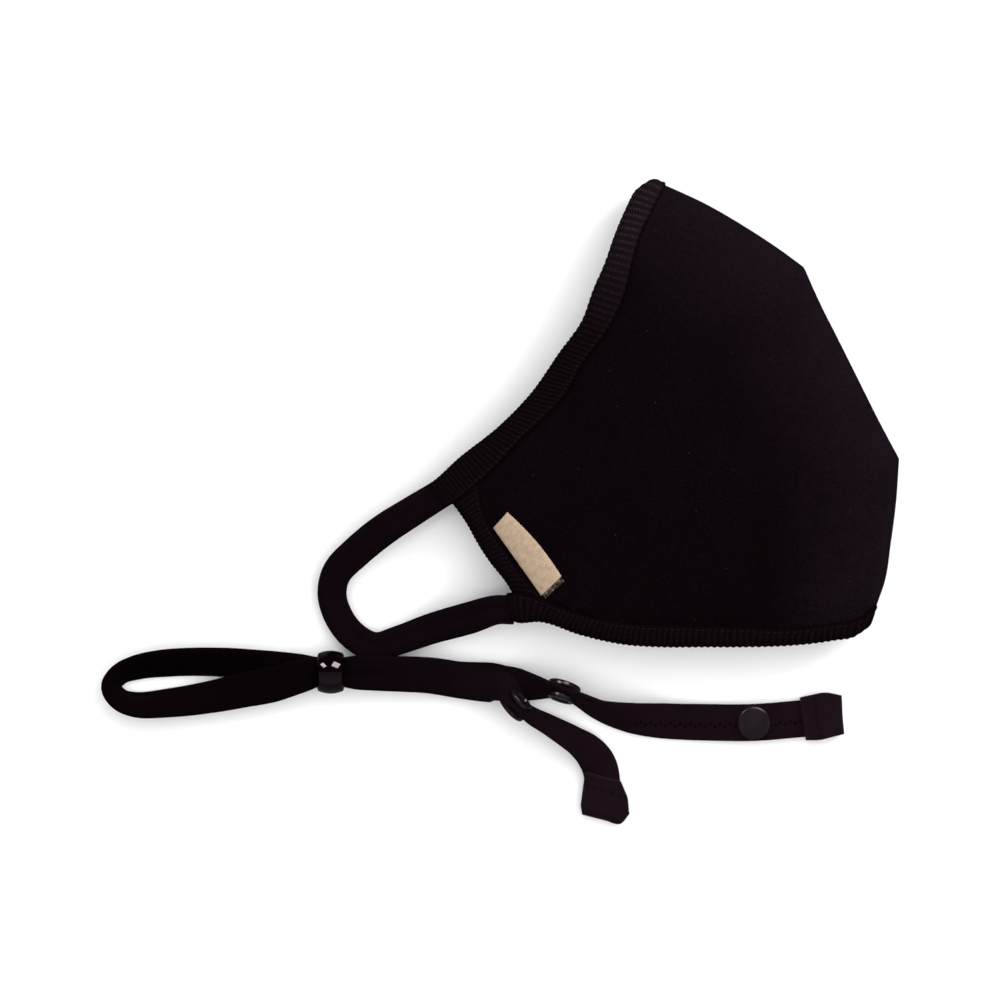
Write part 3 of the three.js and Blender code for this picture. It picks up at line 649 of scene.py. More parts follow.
def lay_tape(name, rows, thick, profile, cells_per_mm, cells):
    """Sweeps a closed tape section along its route; profile gives half the thickness across the tape."""
    dense = np.linspace(0, 1, 4000)
    steps = np.linalg.norm(np.diff(centripetal(rows[:, :3])(dense), axis=0), axis=1)
    run = np.concatenate([[0], np.cumsum(steps)])
    length = run[-1]

    def route(u, v):
        place, across, normal, wide = tape_stations(rows, np.interp(u * length, run, dense))
        angle = 2 * np.pi * v
        x = np.sign(np.cos(angle)) * np.abs(np.cos(angle)) ** SIDE_POWER    # -1 to 1 across the tape
        face = np.sign(np.sin(angle)) * (np.abs(np.sin(angle)) > 1e-6)
        n = face * thick / 2 * profile(x, u * length) * rounded(np.minimum(u, 1 - u) * length, END_RUN)
        a = x * wide / 2
        points = place + across * a[:, None] + normal * n[:, None]
        return points, np.column_stack([u * length, a + (wide + BACK_STEP) * (face < 0)])

    return lay(name, int(length * cells_per_mm), cells, route), length


# %% Ear loops
# Each row: x, y, and the share of the climb from the table or the other loop up to the panel.
EAR_LOOP = np.array([
    (-17.0, 1.9, 1.00), (-25.2, -2.9, 0.84), (-33.0, -7.7, 0.62), (-40.6, -13.9, 0.38), (-45.9, -19.7, 0.18),
    (-47.3, -25.9, 0.07), (-45.6, -32.1, 0.01), (-41.4, -37.7, 0), (-35.4, -40.9, 0), (-28.4, -39.3, 0.03),
    (-19.6, -36.0, 0.20), (-8.4, -32.6, 0.60), (-1.4, -30.8, 0.90), (3.6, -30.9, 1.00)])
LOOP_WIDTH = 8.1
LOOP_THICK = 2.0
LOWER_LIMB_NEARER = 0.5              # mm by which the lower limb lies nearer to the mask
VALLEY, CREASE = 0.42, 0.16          # depth as a share of the loop's thickness


def loop_profile(x, run):
    """Two curled edges with a valley between them."""
    edge = np.sqrt(np.clip(1 - np.abs(x) ** 3.2, 0, 1))
    return edge * (1 - VALLEY * dent(x - 0.06, 0.30) - CREASE * dent(x - 0.02, 0.07))


def ear_loop(name, side, drop):
    """One loop. Its climbing parts lie drop mm nearer to the strap, so the lower loop shows an edge."""
    bottom = LOOP_THICK * 1.5 + GAP * 1.4 if side == RIGHT else LOOP_THICK / 2
    top = float(cloth_height(side, np.ones(1), np.zeros(1))[0])
    x, y, rise = EAR_LOOP.T
    lower_limb = np.clip((x + 38) / 12, 0, 1) * (y < -30)
    y = y + LOWER_LIMB_NEARER * lower_limb - drop * np.sin(np.pi * np.minimum(1, rise))
    count = len(x)
    rows = np.column_stack([x + SHIFT[0], y + SHIFT[1], bottom + (top - bottom) * rise,
                            np.zeros(count), np.full(count, LOOP_WIDTH)])
    return lay_tape(name, rows, LOOP_THICK, loop_profile, 1.6, cells=44)


ear_loops = {}
for name, side, drop in (("right", RIGHT, 0.0), ("left", LEFT, 1.1)):
    ear_loops[name], length = ear_loop(f"ear_loop_{name}_jersey", side, drop)
    print(f"ear loop {name}: {length:.0f} mm long")

# %% Head strap
# Each row: x, y, z, lean and width. It starts at the right end, runs under itself to the open loop on
# the left, and comes back over the top to the lower end. It follows the solid's route, eased where
# cloth bends more softly than its facets.
STRAP = np.array([
    (94.4, -60.3, 2.0, 0, 10.0), (84.0, -61.1, 2.0, 0, 10.4), (71.1, -62.1, 2.6, 0, 10.4),
    (58.8, -62.1, 1.8, 0, 10.3), (46.2, -61.7, 2.2, -12, 10.2), (36.4, -60.7, 3.9, -34, 10.2),
    (28.0, -58.6, 4.9, -56, 10.0), (21.8, -55.4, 5.6, -70, 10.0), (17.4, -53.5, 5.8, -77, 10.0),
    (13.0, -52.6, 5.3, -62, 10.0), (5.6, -51.5, 3.4, -26, 10.0), (1.0, -50.8, 2.1, -7, 9.4),
    (-2.8, -50.3, 1.7, -2, 10.0), (-11.2, -50.0, 1.6, -3, 10.0), (-20.0, -48.7, 3.3, -10, 10.0),
    (-32.2, -48.2, 5.3, -14, 10.0), (-40.0, -47.9, 5.4, -10, 9.6), (-43.8, -47.9, 4.9, 0, 8.4),
    (-51.4, -47.9, 4.9, 0, 8.4), (-56.0, -47.5, 4.4, -9, 9.4), (-65.8, -46.3, 3.8, -28, 10.0),
    (-79.8, -45.1, 4.1, -37, 10.0), (-93.8, -45.4, 4.3, -40, 10.0), (-102.0, -46.6, 4.5, -48, 10.0),
    (-106.9, -48.6, 4.6, -57, 10.0), (-109.2, -52.0, 4.7, -62, 10.0), (-106.9, -55.5, 4.6, -57, 10.0),
    (-102.0, -57.1, 4.5, -48, 10.0), (-92.4, -56.5, 4.3, -38, 10.0), (-82.0, -55.0, 5.0, -28, 10.0),
    (-72.8, -53.1, 6.2, -14, 10.0), (-64.0, -51.4, 6.8, -5, 10.0), (-56.0, -49.0, 7.3, -3, 9.4),
    (-51.4, -47.9, 7.2, 0, 8.4), (-43.8, -47.9, 7.2, 0, 8.4), (-40.0, -48.1, 7.7, 10, 9.6),
    (-32.2, -48.4, 7.7, 14, 10.0), (-20.0, -49.0, 5.7, 10, 10.0), (-11.2, -50.4, 4.0, 3, 10.0),
    (-5.2, -51.2, 5.2, -3, 10.0), (-1.0, -51.8, 6.2, -14, 10.0), (2.2, -53.6, 7.8, -44, 10.0),
    (4.4, -56.7, 7.9, -76, 10.0), (8.2, -59.8, 6.6, -66, 10.0), (13.8, -62.9, 5.6, -58, 10.0),
    (21.0, -67.2, 4.7, -44, 10.0), (25.4, -70.8, 3.2, -20, 10.0), (27.8, -74.6, 2.0, 0, 10.0),
    (28.7, -80.0, 2.0, 0, 10.0), (29.2, -86.2, 2.0, 0, 10.0)])
SNAP_ROWS = {"end": (2, 1), "upper": (8, -1), "lower": (42, -1)}      # row, and the side of the cap
STRAP[:, :2] += SHIFT
STRAP_THICK = 2.0
BEND_RUN = 215.0                     # mm from the right end to the open loop's bend
BEAD_RUNS = 152.0, 284.0             # mm from the right end to the bead, on the way out and back


def strap_profile(x, run):
    """A thick flat body with rounded sides, two shallow channels beside its selvedges and a crease along
    its middle, which deepens in the bead."""
    edge = np.sqrt(np.clip(1 - np.abs(x) ** 5, 0, 1))
    channels = (0.10 + 0.15 * dent(run - BEND_RUN, 38)) * dent(np.abs(x) - 0.56, 0.15)
    in_bead = sum(dent(run - bead_run, 9) for bead_run in BEAD_RUNS)
    crease = (0.10 + 0.30 * in_bead) * dent(x + 0.1, 0.22)
    return 0.97 * edge * (1 - channels - crease)


head_strap, strap_length = lay_tape("head_strap_elastic", STRAP, STRAP_THICK, strap_profile, 1.7, cells=60)
print(f"head strap: {strap_length:.0f} mm long, faces: {len(head_strap.data.polygons)}")

# %% [markdown]
# ## The wrapped ends of the strap
# Both raw ends are bound with a strip of hem tape. It is folded over the end, so it is a little wider
# and thicker than the strap, with a turned edge where it is sewn down.

# %% Shape of a tab
# Each row: the fold's x, y and the open edge's x, y, from one side of the strap to the other.
TAB_RIGHT = np.array([
    (95.8, -54.8, 84.0, -55.2), (96.0, -60.1, 84.7, -61.1), (96.5, -65.4, 85.7, -67.0)]) + np.tile(SHIFT, 2)
TAB_LOWER = np.array([
    (22.9, -88.0, 23.7, -75.7), (29.2, -89.6, 28.6, -77.2), (33.6, -90.6, 33.4, -78.5),
    (36.2, -87.8, 34.1, -79.4)]) + np.tile(SHIFT, 2)
TAB_WALL = 0.7
TAB_FOLD_RUN = 2.2                   # mm over which the fold is rounded
TAB_EDGE_RUN = 0.5                   # mm over which the open edge is rounded
TAB_SIDES = 0.55                     # thickness at the pressed sides, as a share of the middle's
TAB_CELLS = 110
TAB_CUT = 12.0                       # mm from side to side, laid flat
LIP_HEIGHT, LIP_LINE = 0.26, 0.55    # mm, of the turned edge, and how far it lies from the open edge
STITCH_ROW = 4.1                     # mm from the open edge to the second row of stitches
SUNK_ROWS = (0.18, 1.5, 0.3), (0.12, STITCH_ROW, 0.5)       # depth, place and spread of each row in mm


def tab_relief(u, from_open):
    """Height in mm of a tab's upper face: the turned lip, two rows of stitches and a slight pucker."""
    pucker = 0.07 * np.sin(u * 21 + 1.0) * np.exp(-from_open / 4)
    sunk = sum(depth * dent(from_open - row, spread) for depth, row, spread in SUNK_ROWS)
    return LIP_HEIGHT * dent(from_open - LIP_LINE, 0.3) - sunk + pucker


def lay_tab(name, rows, bulges, turn):
    """The folded strip over a strap end. bulges say how each side is gathered outwards, as (mm, share
    along it, spread), and turn is 1 or -1 as the rows run to the left or the right of the strap's end."""
    edges = smooth_table(rows, arc_shares(rows[:, :2]))
    out, hollow = STRAP_THICK / 2 + GAP + TAB_WALL, STRAP_THICK / 2 + 0.15

    def route(u, v):
        at = edges(u)
        reach = np.column_stack([at[:, 2:] - at[:, :2], np.zeros(len(u))])
        wide = np.linalg.norm(reach, axis=1)
        share, wall, laid_flat, is_outer = section_at(v)
        a = share * wide
        from_open = wide - a
        side = rounded(np.minimum(u, 1 - u), 0.05)
        thinned = TAB_SIDES + (1 - TAB_SIDES) * side
        fold, open_edge = rounded(a, TAB_FOLD_RUN), rounded(from_open, TAB_EDGE_RUN)
        height = hollow + (out * fold - hollow) * open_edge
        raised = np.where(wall > 0, tab_relief(u, from_open) * open_edge * fold * side, 0)
        thick = np.where(is_outer, height, hollow * 0.9) * thinned
        n = np.sign(wall) * thick + raised * is_outer
        a = np.where(is_outer, a, a + 0.09 * from_open)
        points = np.column_stack([at[:, :2], out + n]) + reach / wide[:, None] * a[:, None]
        sideways = np.column_stack([-reach[:, 1], reach[:, 0], np.zeros(len(u))]) / wide[:, None]
        for near_side, way, (size, peak, spread) in ((1 - u, -1, bulges[0]), (u, 1, bulges[1])):
            swell = size * np.clip(near_side, 0, 1) ** 4 * dent(a / wide - peak, spread)
            points += sideways * (turn * way * swell)[:, None]
        return points, np.column_stack([u * TAB_CUT, laid_flat * wide])

    return lay(name, TAB_CELLS, len(SECTION) - 1, route, open_sides=True)


# %% Tabs
tabs = {"right": lay_tab("strap_tab_right_tape", TAB_RIGHT, ((1.25, 0.42, 0.36), (0.6, 0.62, 0.3)), 1),
        "lower": lay_tab("strap_tab_lower_tape", TAB_LOWER, ((0.6, 0.22, 0.13), (0.6, 0.52, 0.24)), -1)}
print("tabs:", [len(tab.data.polygons) for tab in tabs.values()])

# %% [markdown]
# ## The side label
# The real one is a short woven strip folded in half, with its cut ends sewn under the ear binding. It
# stands slightly open at the fold. It is a thin sheet with two layers, so it is one wrapped section: up
# over the top layer, round the fold, and back below. Nothing is printed on it.

# %% Label
LABEL_EAR = np.array([(-2.1, -7.5), (11.3, -26.4)]) + SHIFT      # the sewn edge, from end to end
LABEL_OUT = np.array([(1.9, -3.0), (17.0, -20.9)]) + SHIFT       # the fold
LABEL_BOW = np.array([0.675, 0.54])                              # how far the fold bulges, in x and y
LABEL_LENGTH = 23.3
LABEL_WIDTH = 5.3
LABEL_RISE = 0.9                     # of the fold's upper layer over the lower one
LABEL_GAPE = 0.35                    # how much further it stands open at its lower end
LABEL_GAP = 0.12                     # between the label and the panel
REVERSE_START = 0.80                 # share of the label's length from which the reverse is modelled
REVERSE_RUN = 0.265                  # and how far on from there, which is past the upper layer's end
REVERSE_HALF_THICK = 0.17


def label_plan(run, x, bow=0.0):
    """Where the label's points lie in plan, for shares of its length and of its width from the sewn edge
    to the fold, which bow carries outwards."""
    sewn = LABEL_EAR[0] + (LABEL_EAR[1] - LABEL_EAR[0]) * run[:, None]
    fold = LABEL_OUT[0] + (LABEL_OUT[1] - LABEL_OUT[0]) * run[:, None] + bow
    return sewn + (fold - sewn) * x[:, None]


def panel_top(plan):
    """Height in mm of the right panel's outside at points of the plan, found by looking straight down."""
    heights = []
    for x, y in plan * MM:
        hit, spot, _, _ = panels["right"].ray_cast(Vector((x, y, 0.1)), Vector((0, 0, -1)))
        heights.append(spot.z / MM if hit else np.nan)
    return np.array(heights)


def label_route(u, v):
    x = 0.5 - 0.5 * np.cos(2 * np.pi * v)                        # to the fold over the top, and back
    plan = label_plan(u, x, np.sin(np.pi * u)[:, None] * LABEL_BOW)
    puff = np.sqrt(np.clip(1 - (2 * x - 1) ** 2, 0, 1)) ** 0.5
    open_end = LABEL_GAPE * np.clip((u - 0.7) / 0.3, 0, 1) ** 2 * x
    z = panel_top(plan) + LABEL_GAP + (v <= 0.5) * (LABEL_RISE + open_end) * puff
    return np.column_stack([plan, z]), np.column_stack([u * LABEL_LENGTH, x * LABEL_WIDTH])


def reverse_route(u, v):
    """The lower layer shows its dark reverse where it sticks out past the end of the upper one."""
    x = 0.52 - 0.45 * np.cos(2 * np.pi * v)
    run = REVERSE_START + u * REVERSE_RUN
    plan = label_plan(run, x)
    close = np.sqrt(np.clip(np.minimum(u, 1 - u) / 0.08, 0, 1))
    z = panel_top(plan) + 2 * LABEL_GAP + np.sin(2 * np.pi * v) * REVERSE_HALF_THICK * close
    return np.column_stack([plan, z]), np.column_stack([run * LABEL_LENGTH, x * LABEL_WIDTH])


label = lay("side_label_woven", 70, 44, label_route, open_sides=True)
label_reverse = lay("side_label_reverse", 26, 40, reverse_route, open_sides=True)
print("label faces:", len(label.data.polygons), "reverse faces:", len(label_reverse.data.polygons))

# %% [markdown]
# ## The bead
# A glossy plastic barrel bead is pushed over the doubled strap. A cylinder would look flat along its
# length, but a barrel is crowned, so it starts as a ball that is drawn out and cut at both ends. The
# ends are inset and joined through to open the bore, and the rims are rounded, as on a moulded bead.
# The crown is what spreads the soft boxes into two window-like highlights.

# %% Selecting by place
def clear_selection(kind):
    """Selects nothing, and sets whether edges or faces are picked; leaves the piece in object mode."""
    bpy.ops.object.mode_set(mode="EDIT")
    bpy.ops.mesh.select_mode(type=kind)
    bpy.ops.mesh.select_all(action="DESELECT")
    bpy.ops.object.mode_set(mode="OBJECT")


def select_faces(piece, wanted):
    """Selects the faces for which wanted(face) is true; leaves the piece in edit mode."""
    clear_selection("FACE")
    for face in piece.data.polygons:
        face.select = wanted(face)
    bpy.ops.object.mode_set(mode="EDIT")


def select_edges(piece, wanted):
    """Selects the edges for which wanted(end, end) is true; leaves the piece in edit mode."""
    clear_selection("EDGE")
    points = piece.data.vertices
    for edge in piece.data.edges:
        edge.select = wanted(points[edge.vertices[0]].co, points[edge.vertices[1]].co)
    bpy.ops.object.mode_set(mode="EDIT")


# %% Bead
BEAD_RADIUS = 6.05 * MM
BEAD_BORE = 4.3 * MM                 # radius
BEAD_LENGTH = 7.5 * MM
BEAD_CROWN = 1.16                    # how far the ball is drawn out along the bore
BEAD_ROUNDING = 0.75 * MM
END_RADIUS = BEAD_RADIUS * math.sqrt(1 - (BEAD_LENGTH / 2 / BEAD_RADIUS / BEAD_CROWN) ** 2)
AT_RIM = 0.01 * MM, 0.02 * MM        # how near an edge lies to a rim, along the bore and outwards

deselect()
bpy.ops.mesh.primitive_uv_sphere_add(segments=96, ring_count=72, radius=BEAD_RADIUS, location=(0, 0, 0))
bead = bpy.context.object
bead.name = bead.data.name = "strap_bead_gloss"
bpy.ops.object.mode_set(mode="EDIT")
bpy.ops.mesh.select_all(action="SELECT")
bpy.ops.transform.resize(value=(1, 1, BEAD_CROWN))
for way in (-1, 1):
    bpy.ops.mesh.select_all(action="SELECT")
    bpy.ops.mesh.bisect(plane_co=(0, 0, way * BEAD_LENGTH / 2), plane_no=(0, 0, way), use_fill=True,
                        clear_outer=True)
bpy.ops.object.mode_set(mode="OBJECT")
select_faces(bead, lambda face: abs(face.normal.z) > 0.99)
bpy.ops.mesh.inset(thickness=END_RADIUS - BEAD_BORE)
bpy.ops.mesh.bridge_edge_loops()


def on_rim(p, q):
    """Whether the edge from p to q lies on the outer rim of one of the ends."""
    return (p.z * q.z > 0 and min(abs(p.z), abs(q.z)) > BEAD_LENGTH / 2 - AT_RIM[0]
            and min(p.xy.length, q.xy.length) > END_RADIUS - AT_RIM[1])


select_edges(bead, on_rim)
bpy.ops.mesh.bevel(offset=BEAD_ROUNDING, offset_type="OFFSET", segments=8, profile=0.5, affect="EDGES")
bpy.ops.mesh.select_all(action="SELECT")
bpy.ops.transform.rotate(value=math.radians(90), orient_axis="Y", center_override=(0, 0, 0))
bpy.ops.transform.translate(value=Vector(((bead_low + bead_high) / 2 * MM).tolist()))
turn_faces_out()
bpy.ops.object.shade_smooth()
print("bead size in mm:", [round(side / MM, 2) for side in bead.dimensions])

# %% [markdown]
# ## The snaps
# Each press snap is a thin moulded cap on one side of the strap and a ring-shaped socket on the other.
# Both are turned shapes: a disc whose rim is rounded and whose face is inset ring by ring, each ring
# raised or sunk. One of each is modelled lying flat, and then copied to the strap, where it tips with
# the strap's own lean.

# %% Snap cap and socket
def turned_disc(name, sides, radius, height, rounding, round_steps, rings):
    """A disc lying on z = 0, sized in mm. rings are (width, rise), from its rim to the middle."""
    deselect()
    bpy.ops.mesh.primitive_cylinder_add(vertices=sides, radius=radius * MM, depth=height * MM,
                                        location=(0, 0, height * MM / 2))
    disc = bpy.context.object
    disc.name = disc.data.name = name
    bpy.ops.object.transform_apply(location=True, rotation=True, scale=True)
    select_edges(disc, lambda p, q: min(p.z, q.z) > height * MM * 0.99 and p.z == q.z)
    bpy.ops.mesh.bevel(offset=rounding * MM, segments=round_steps, profile=0.5, affect="EDGES")
    select_faces(disc, lambda face: face.normal.z > 0.99)
    for width, rise in rings:
        bpy.ops.mesh.inset(thickness=width * MM)
        bpy.ops.transform.translate(value=(0, 0, rise * MM))
    turn_faces_out()
    print(name, "faces:", len(disc.data.polygons))
    return disc


cap_model = turned_disc(
    "snap_cap_model", sides=72, radius=4.7, height=1.3, rounding=0.75, round_steps=6,
    rings=((0.25, 0), (0.35, -0.22), (0.8, 0.10), (0.9, 0.07), (0.8, 0.03)))
socket_model = turned_disc(
    "snap_socket_model", sides=64, radius=3.8, height=1.1, rounding=0.4, round_steps=5,
    rings=((0.9, 0), (0.15, -0.6), (0.9, 0.25)))

# %% Snaps on the strap
SNAP_SEAT = STRAP_THICK / 2 + GAP    # mm from the strap's middle to the underside of cap and socket
SNAP_SHARP = 32                      # degrees; steeper edges stay sharp


def copy_to(model, name, place, normal):
    """A copy with its own mesh, stood on place with its axis along normal, both applied to the mesh."""
    piece = model.copy()
    piece.data = model.data.copy()
    piece.name = piece.data.name = name
    bpy.context.collection.objects.link(piece)
    piece.location = Vector(place.tolist()) * MM
    piece.rotation_euler = Vector(normal.tolist()).to_track_quat("Z", "Y").to_euler()
    pick(piece)
    bpy.ops.object.transform_apply(location=True, rotation=True, scale=True)
    bpy.ops.object.shade_smooth_by_angle(angle=math.radians(SNAP_SHARP))
    return piece


snaps = {}
for snap, (row, cap_side) in SNAP_ROWS.items():
    place, _, normal, _ = (value[0] for value in tape_stations(STRAP, np.array([row / (len(STRAP) - 1)])))
    for kind, model, way in (("cap", cap_model, cap_side), ("socket", socket_model, -cap_side)):
        snaps[f"{kind}_{snap}"] = copy_to(model, f"snap_{kind}_{snap}_moulded",
                                          place + normal * way * SNAP_SEAT, normal * way)
for model in (cap_model, socket_model):
    bpy.data.objects.remove(model, do_unlink=True)
print("snaps:", sorted(snaps))

# %% [markdown]
# ## Materials
# The knits and the label read their own UV maps, which hold millimetres along and across the cut piece,
# so their yarn follows the piece round every bend. Two patterns come back in most of them: a wave, for
# threads that repeat, and a fading on both sides of a line, for a seam.

# %% Patterns
def wave(material, along, spacing):
    """From 0 to 1 and back within each spacing."""
    swing = add_node(material, "Math PINGPONG", (along, spacing / 2))
    return add_node(material, "Math MULTIPLY", (swing, 2 / spacing))


def near(material, across, line, fall):
    """1 on the line, less by fall for each unit away from it, and 0 beyond."""
    offset = add_node(material, "Math SUBTRACT", (across, line))
    distance = add_node(material, "Math ABSOLUTE", (offset,))
    return add_node(material, "Math MULTIPLY_ADD", (distance, -fall, 1.0), use_clamp=True)

# %% [markdown]
# ## Microfibre panels
# The outer cloth is a brushed microfibre knit. It has almost no gloss; its short pile scatters light at
# grazing angles, so the crown looks a little greyer than the middle. The pile grain is about 0.3 mm.
# Beside the centre seam the cloth is painted lighter, as painted light that fades out over a few
# centimetres; towards the nose bridge it is painted darker, as painted shade. Here and there a speck
# of lint has caught on it.

# %% Microfibre
PILE_GRAIN = 0.29                    # mm
CLOTH_MOTTLE = 14.0                  # mm
SEAM_LIGHT_REACH = 34.0                 # mm from the seam over which the painted light fades
SEAM_LIGHT_TONE = 1.52, 0.89            # tone of the painted light at the seam, and out of its reach
NOSE_DARKER = 0.8                    # painted shade: less tone for each metre towards the nose bridge
LINT_SPACING = 11.0                  # mm
LINT_RADIUS = 0.015                  # share of its spacing
LINT_FREE = 0.7                      # share of its places that stay bare
DYE_CAST = linear("#F9CCE9")         # the black dye is a deep plum, and so is what its pile scatters
# The centre seam as three straight lines: a point on each in mm, and the direction into the cloth.
SEAM_SIDES = (((85.4, 65.7), (-0.502, -0.865)), ((85.4, 65.7), (-0.903, -0.431)),
              ((111.5, 11.0), (-0.996, 0.091)))

microfibre = new_material("brushed microfibre knit, black", Roughness=0.8, Specular_IOR_Level=0.02,
                          Specular_Tint=DYE_CAST, Sheen_Weight=0.065, Sheen_Roughness=0.3,
                          Sheen_Tint=DYE_CAST)
place = add_node(microfibre, "TexCoord")
spot = place.outputs["Object"]
pile = add_node(microfibre, "TexNoise", {"Vector": spot, "Scale": 1000 / PILE_GRAIN, "Detail": 3.0})
mottle = add_node(microfibre, "TexNoise", {"Vector": spot, "Scale": 1000 / CLOTH_MOTTLE, "Detail": 4.0})
mottled = add_node(microfibre, "Math MULTIPLY_ADD", (mottle, 0.12, -0.20))
grain = add_node(microfibre, "Math MULTIPLY_ADD", (pile, 1.1, mottled))
from_seam = 1.0                      # m, further away than any point of the cloth
for (start_x, start_y), inward in SEAM_SIDES:
    offset = add_node(microfibre, "VectorMath SUBTRACT", (spot, (start_x * MM, start_y * MM, 0)))
    from_line = add_node(microfibre, "VectorMath DOT_PRODUCT", (offset, (*inward, 0)))
    from_seam = add_node(microfibre, "Math MINIMUM", (from_seam, from_line))
# Painted light beside the centre seam, and painted shade towards the nose bridge
painted_seam_light = add_node(microfibre, "MapRange", {
    "Value": from_seam, "From Max": SEAM_LIGHT_REACH * MM, "To Min": SEAM_LIGHT_TONE[0], "To Max": SEAM_LIGHT_TONE[1]})
ground = add_node(microfibre, "SeparateXYZ", {"Vector": spot})
lighter = add_node(microfibre, "Math MULTIPLY_ADD", (ground.outputs["Y"], -NOSE_DARKER, painted_seam_light))
tone = add_node(microfibre, "Math MULTIPLY", (grain, lighter))
shade = add_node(microfibre, "ValToRGB", {"Fac": tone},
                 stops=((0.2, "#010001"), (0.45, "#070305"), (0.7, "#130D12")))

# %% Lint on the microfibre
lint = add_node(microfibre, "TexVoronoi", {
    "Vector": place.outputs["UV"], "Scale": 1 / LINT_SPACING, "Randomness": 1.0}, voronoi_dimensions="2D")
lint_draw = add_node(microfibre, "SeparateColor", {"Color": lint.outputs["Color"]})
lint_there = add_node(microfibre, "Math GREATER_THAN", (lint_draw, LINT_FREE))
lint_dot = add_node(microfibre, "Math LESS_THAN", (lint, LINT_RADIUS))
lint_mask = add_node(microfibre, "Math MULTIPLY", (lint_dot, lint_there))
microfibre_colour = add_node(microfibre, "Mix", {"Factor": lint_mask, "A": shade, "B": linear("#241E21")},
                             data_type="RGBA")
feed_shader(microfibre, microfibre_colour, grain, strength=0.5, depth_mm=0.08)
print(microfibre.name, len(microfibre.node_tree.nodes), "nodes")

# %% [markdown]
# ## Rib-knit binding
# Rib knit has raised ribs of small loops, and each loop shines as a dot where it turns. The strip's UV
# counts ribs along it instead of millimetres, so the loops always sit on the ribs however they stretch.
# Beside the open edge runs the topstitching: one loop of thread for each rib, slightly lighter than the
# knit and worn away in places. Towards the nose bridge the knit is painted lighter, as painted light.

# %% Rib knit
LOOP_SPACING = 0.75                  # mm
STITCH_LINE = 1.15                   # mm from the open edge
STITCH_CUT = 0.17                    # what counts as thread; more makes the stitches smaller
NOSE_LIGHT_FROM = 45.0                # mm towards the nose bridge, where the painted light begins
NOSE_LIGHT_FULLY = 75.0
NOSE_LIGHT_TONE = 0.46                # how much lighter the painted light makes the knit
EDGE_SHADE = 0.6                     # mm beside the open edge that lie in its shade
SHADE_TONE = 0.6                     # how much darker they are

rib_knit = new_material("rib knit of cotton and elastane, black", Roughness=0.85,
                        Specular_IOR_Level=0.02, Specular_Tint=DYE_CAST)
rib_place = add_node(rib_knit, "TexCoord")
rib_run = add_node(rib_knit, "SeparateXYZ", {"Vector": rib_place.outputs["UV"]})
rib_count, from_edge = rib_run.outputs["X"], rib_run.outputs["Y"]
crest = add_node(rib_knit, "Math SUBTRACT", (1.0, wave(rib_knit, rib_count, 1.0)))
loop_dots = add_node(rib_knit, "Math MULTIPLY", (crest, wave(rib_knit, from_edge, LOOP_SPACING)))
loops = add_node(rib_knit, "Math POWER", (loop_dots, 1.6))
yarn = add_node(rib_knit, "TexNoise", {"Vector": rib_place.outputs["UV"], "Scale": 1.9, "Detail": 3.0})
yarn_shine = add_node(rib_knit, "Math MULTIPLY_ADD", (yarn, 1.6, -0.15))
uneven = add_node(rib_knit, "Math MULTIPLY", (loops, yarn_shine))

# %% Topstitching, and the tones of the rib knit
shifted_rib = add_node(rib_knit, "Math ADD", (rib_count, 0.25))
stitch_beat = add_node(rib_knit, "Math PINGPONG", (shifted_rib, 0.5))
on_line = add_node(rib_knit, "Math MULTIPLY", (near(rib_knit, from_edge, STITCH_LINE, 2.4), stitch_beat))
thread = add_node(rib_knit, "Math GREATER_THAN", (on_line, STITCH_CUT))
unworn = add_node(rib_knit, "Math MULTIPLY_ADD", (yarn, 4.0, -1.5), use_clamp=True)
thread_shows = add_node(rib_knit, "Math MULTIPLY", (thread, unworn))
rib_ground = add_node(rib_knit, "SeparateXYZ", {"Vector": rib_place.outputs["Object"]})
# Painted light: the knit is painted lighter towards the nose bridge
painted_nose_light = add_node(rib_knit, "MapRange", {
    "Value": rib_ground.outputs["Y"], "From Min": NOSE_LIGHT_FROM * MM, "From Max": NOSE_LIGHT_FULLY * MM,
    "To Min": 0.0, "To Max": NOSE_LIGHT_TONE})
open_edge = add_node(rib_knit, "MapRange", {
    "Value": from_edge, "From Max": EDGE_SHADE, "To Min": -SHADE_TONE, "To Max": 0.0})
rib_light = add_node(rib_knit, "Math ADD", (uneven, painted_nose_light))
rib_tone = add_node(rib_knit, "Math ADD", (rib_light, open_edge))
knit_shade = add_node(rib_knit, "ValToRGB", {"Fac": rib_tone},
                      stops=((0.0, "#050203"), (0.5, "#110A0E"), (1.0, "#2D242A")))
rib_colour = add_node(rib_knit, "Mix", {"Factor": thread_shows, "A": knit_shade, "B": linear("#1A1016")},
                      data_type="RGBA")
thread_height = add_node(rib_knit, "Math MULTIPLY", (thread, 0.8))
knit_height = add_node(rib_knit, "Math MULTIPLY_ADD", (loops, 0.7, thread_height))
feed_shader(rib_knit, rib_colour, knit_height, strength=0.7, depth_mm=0.16)
print(rib_knit.name, len(rib_knit.node_tree.nodes), "nodes")
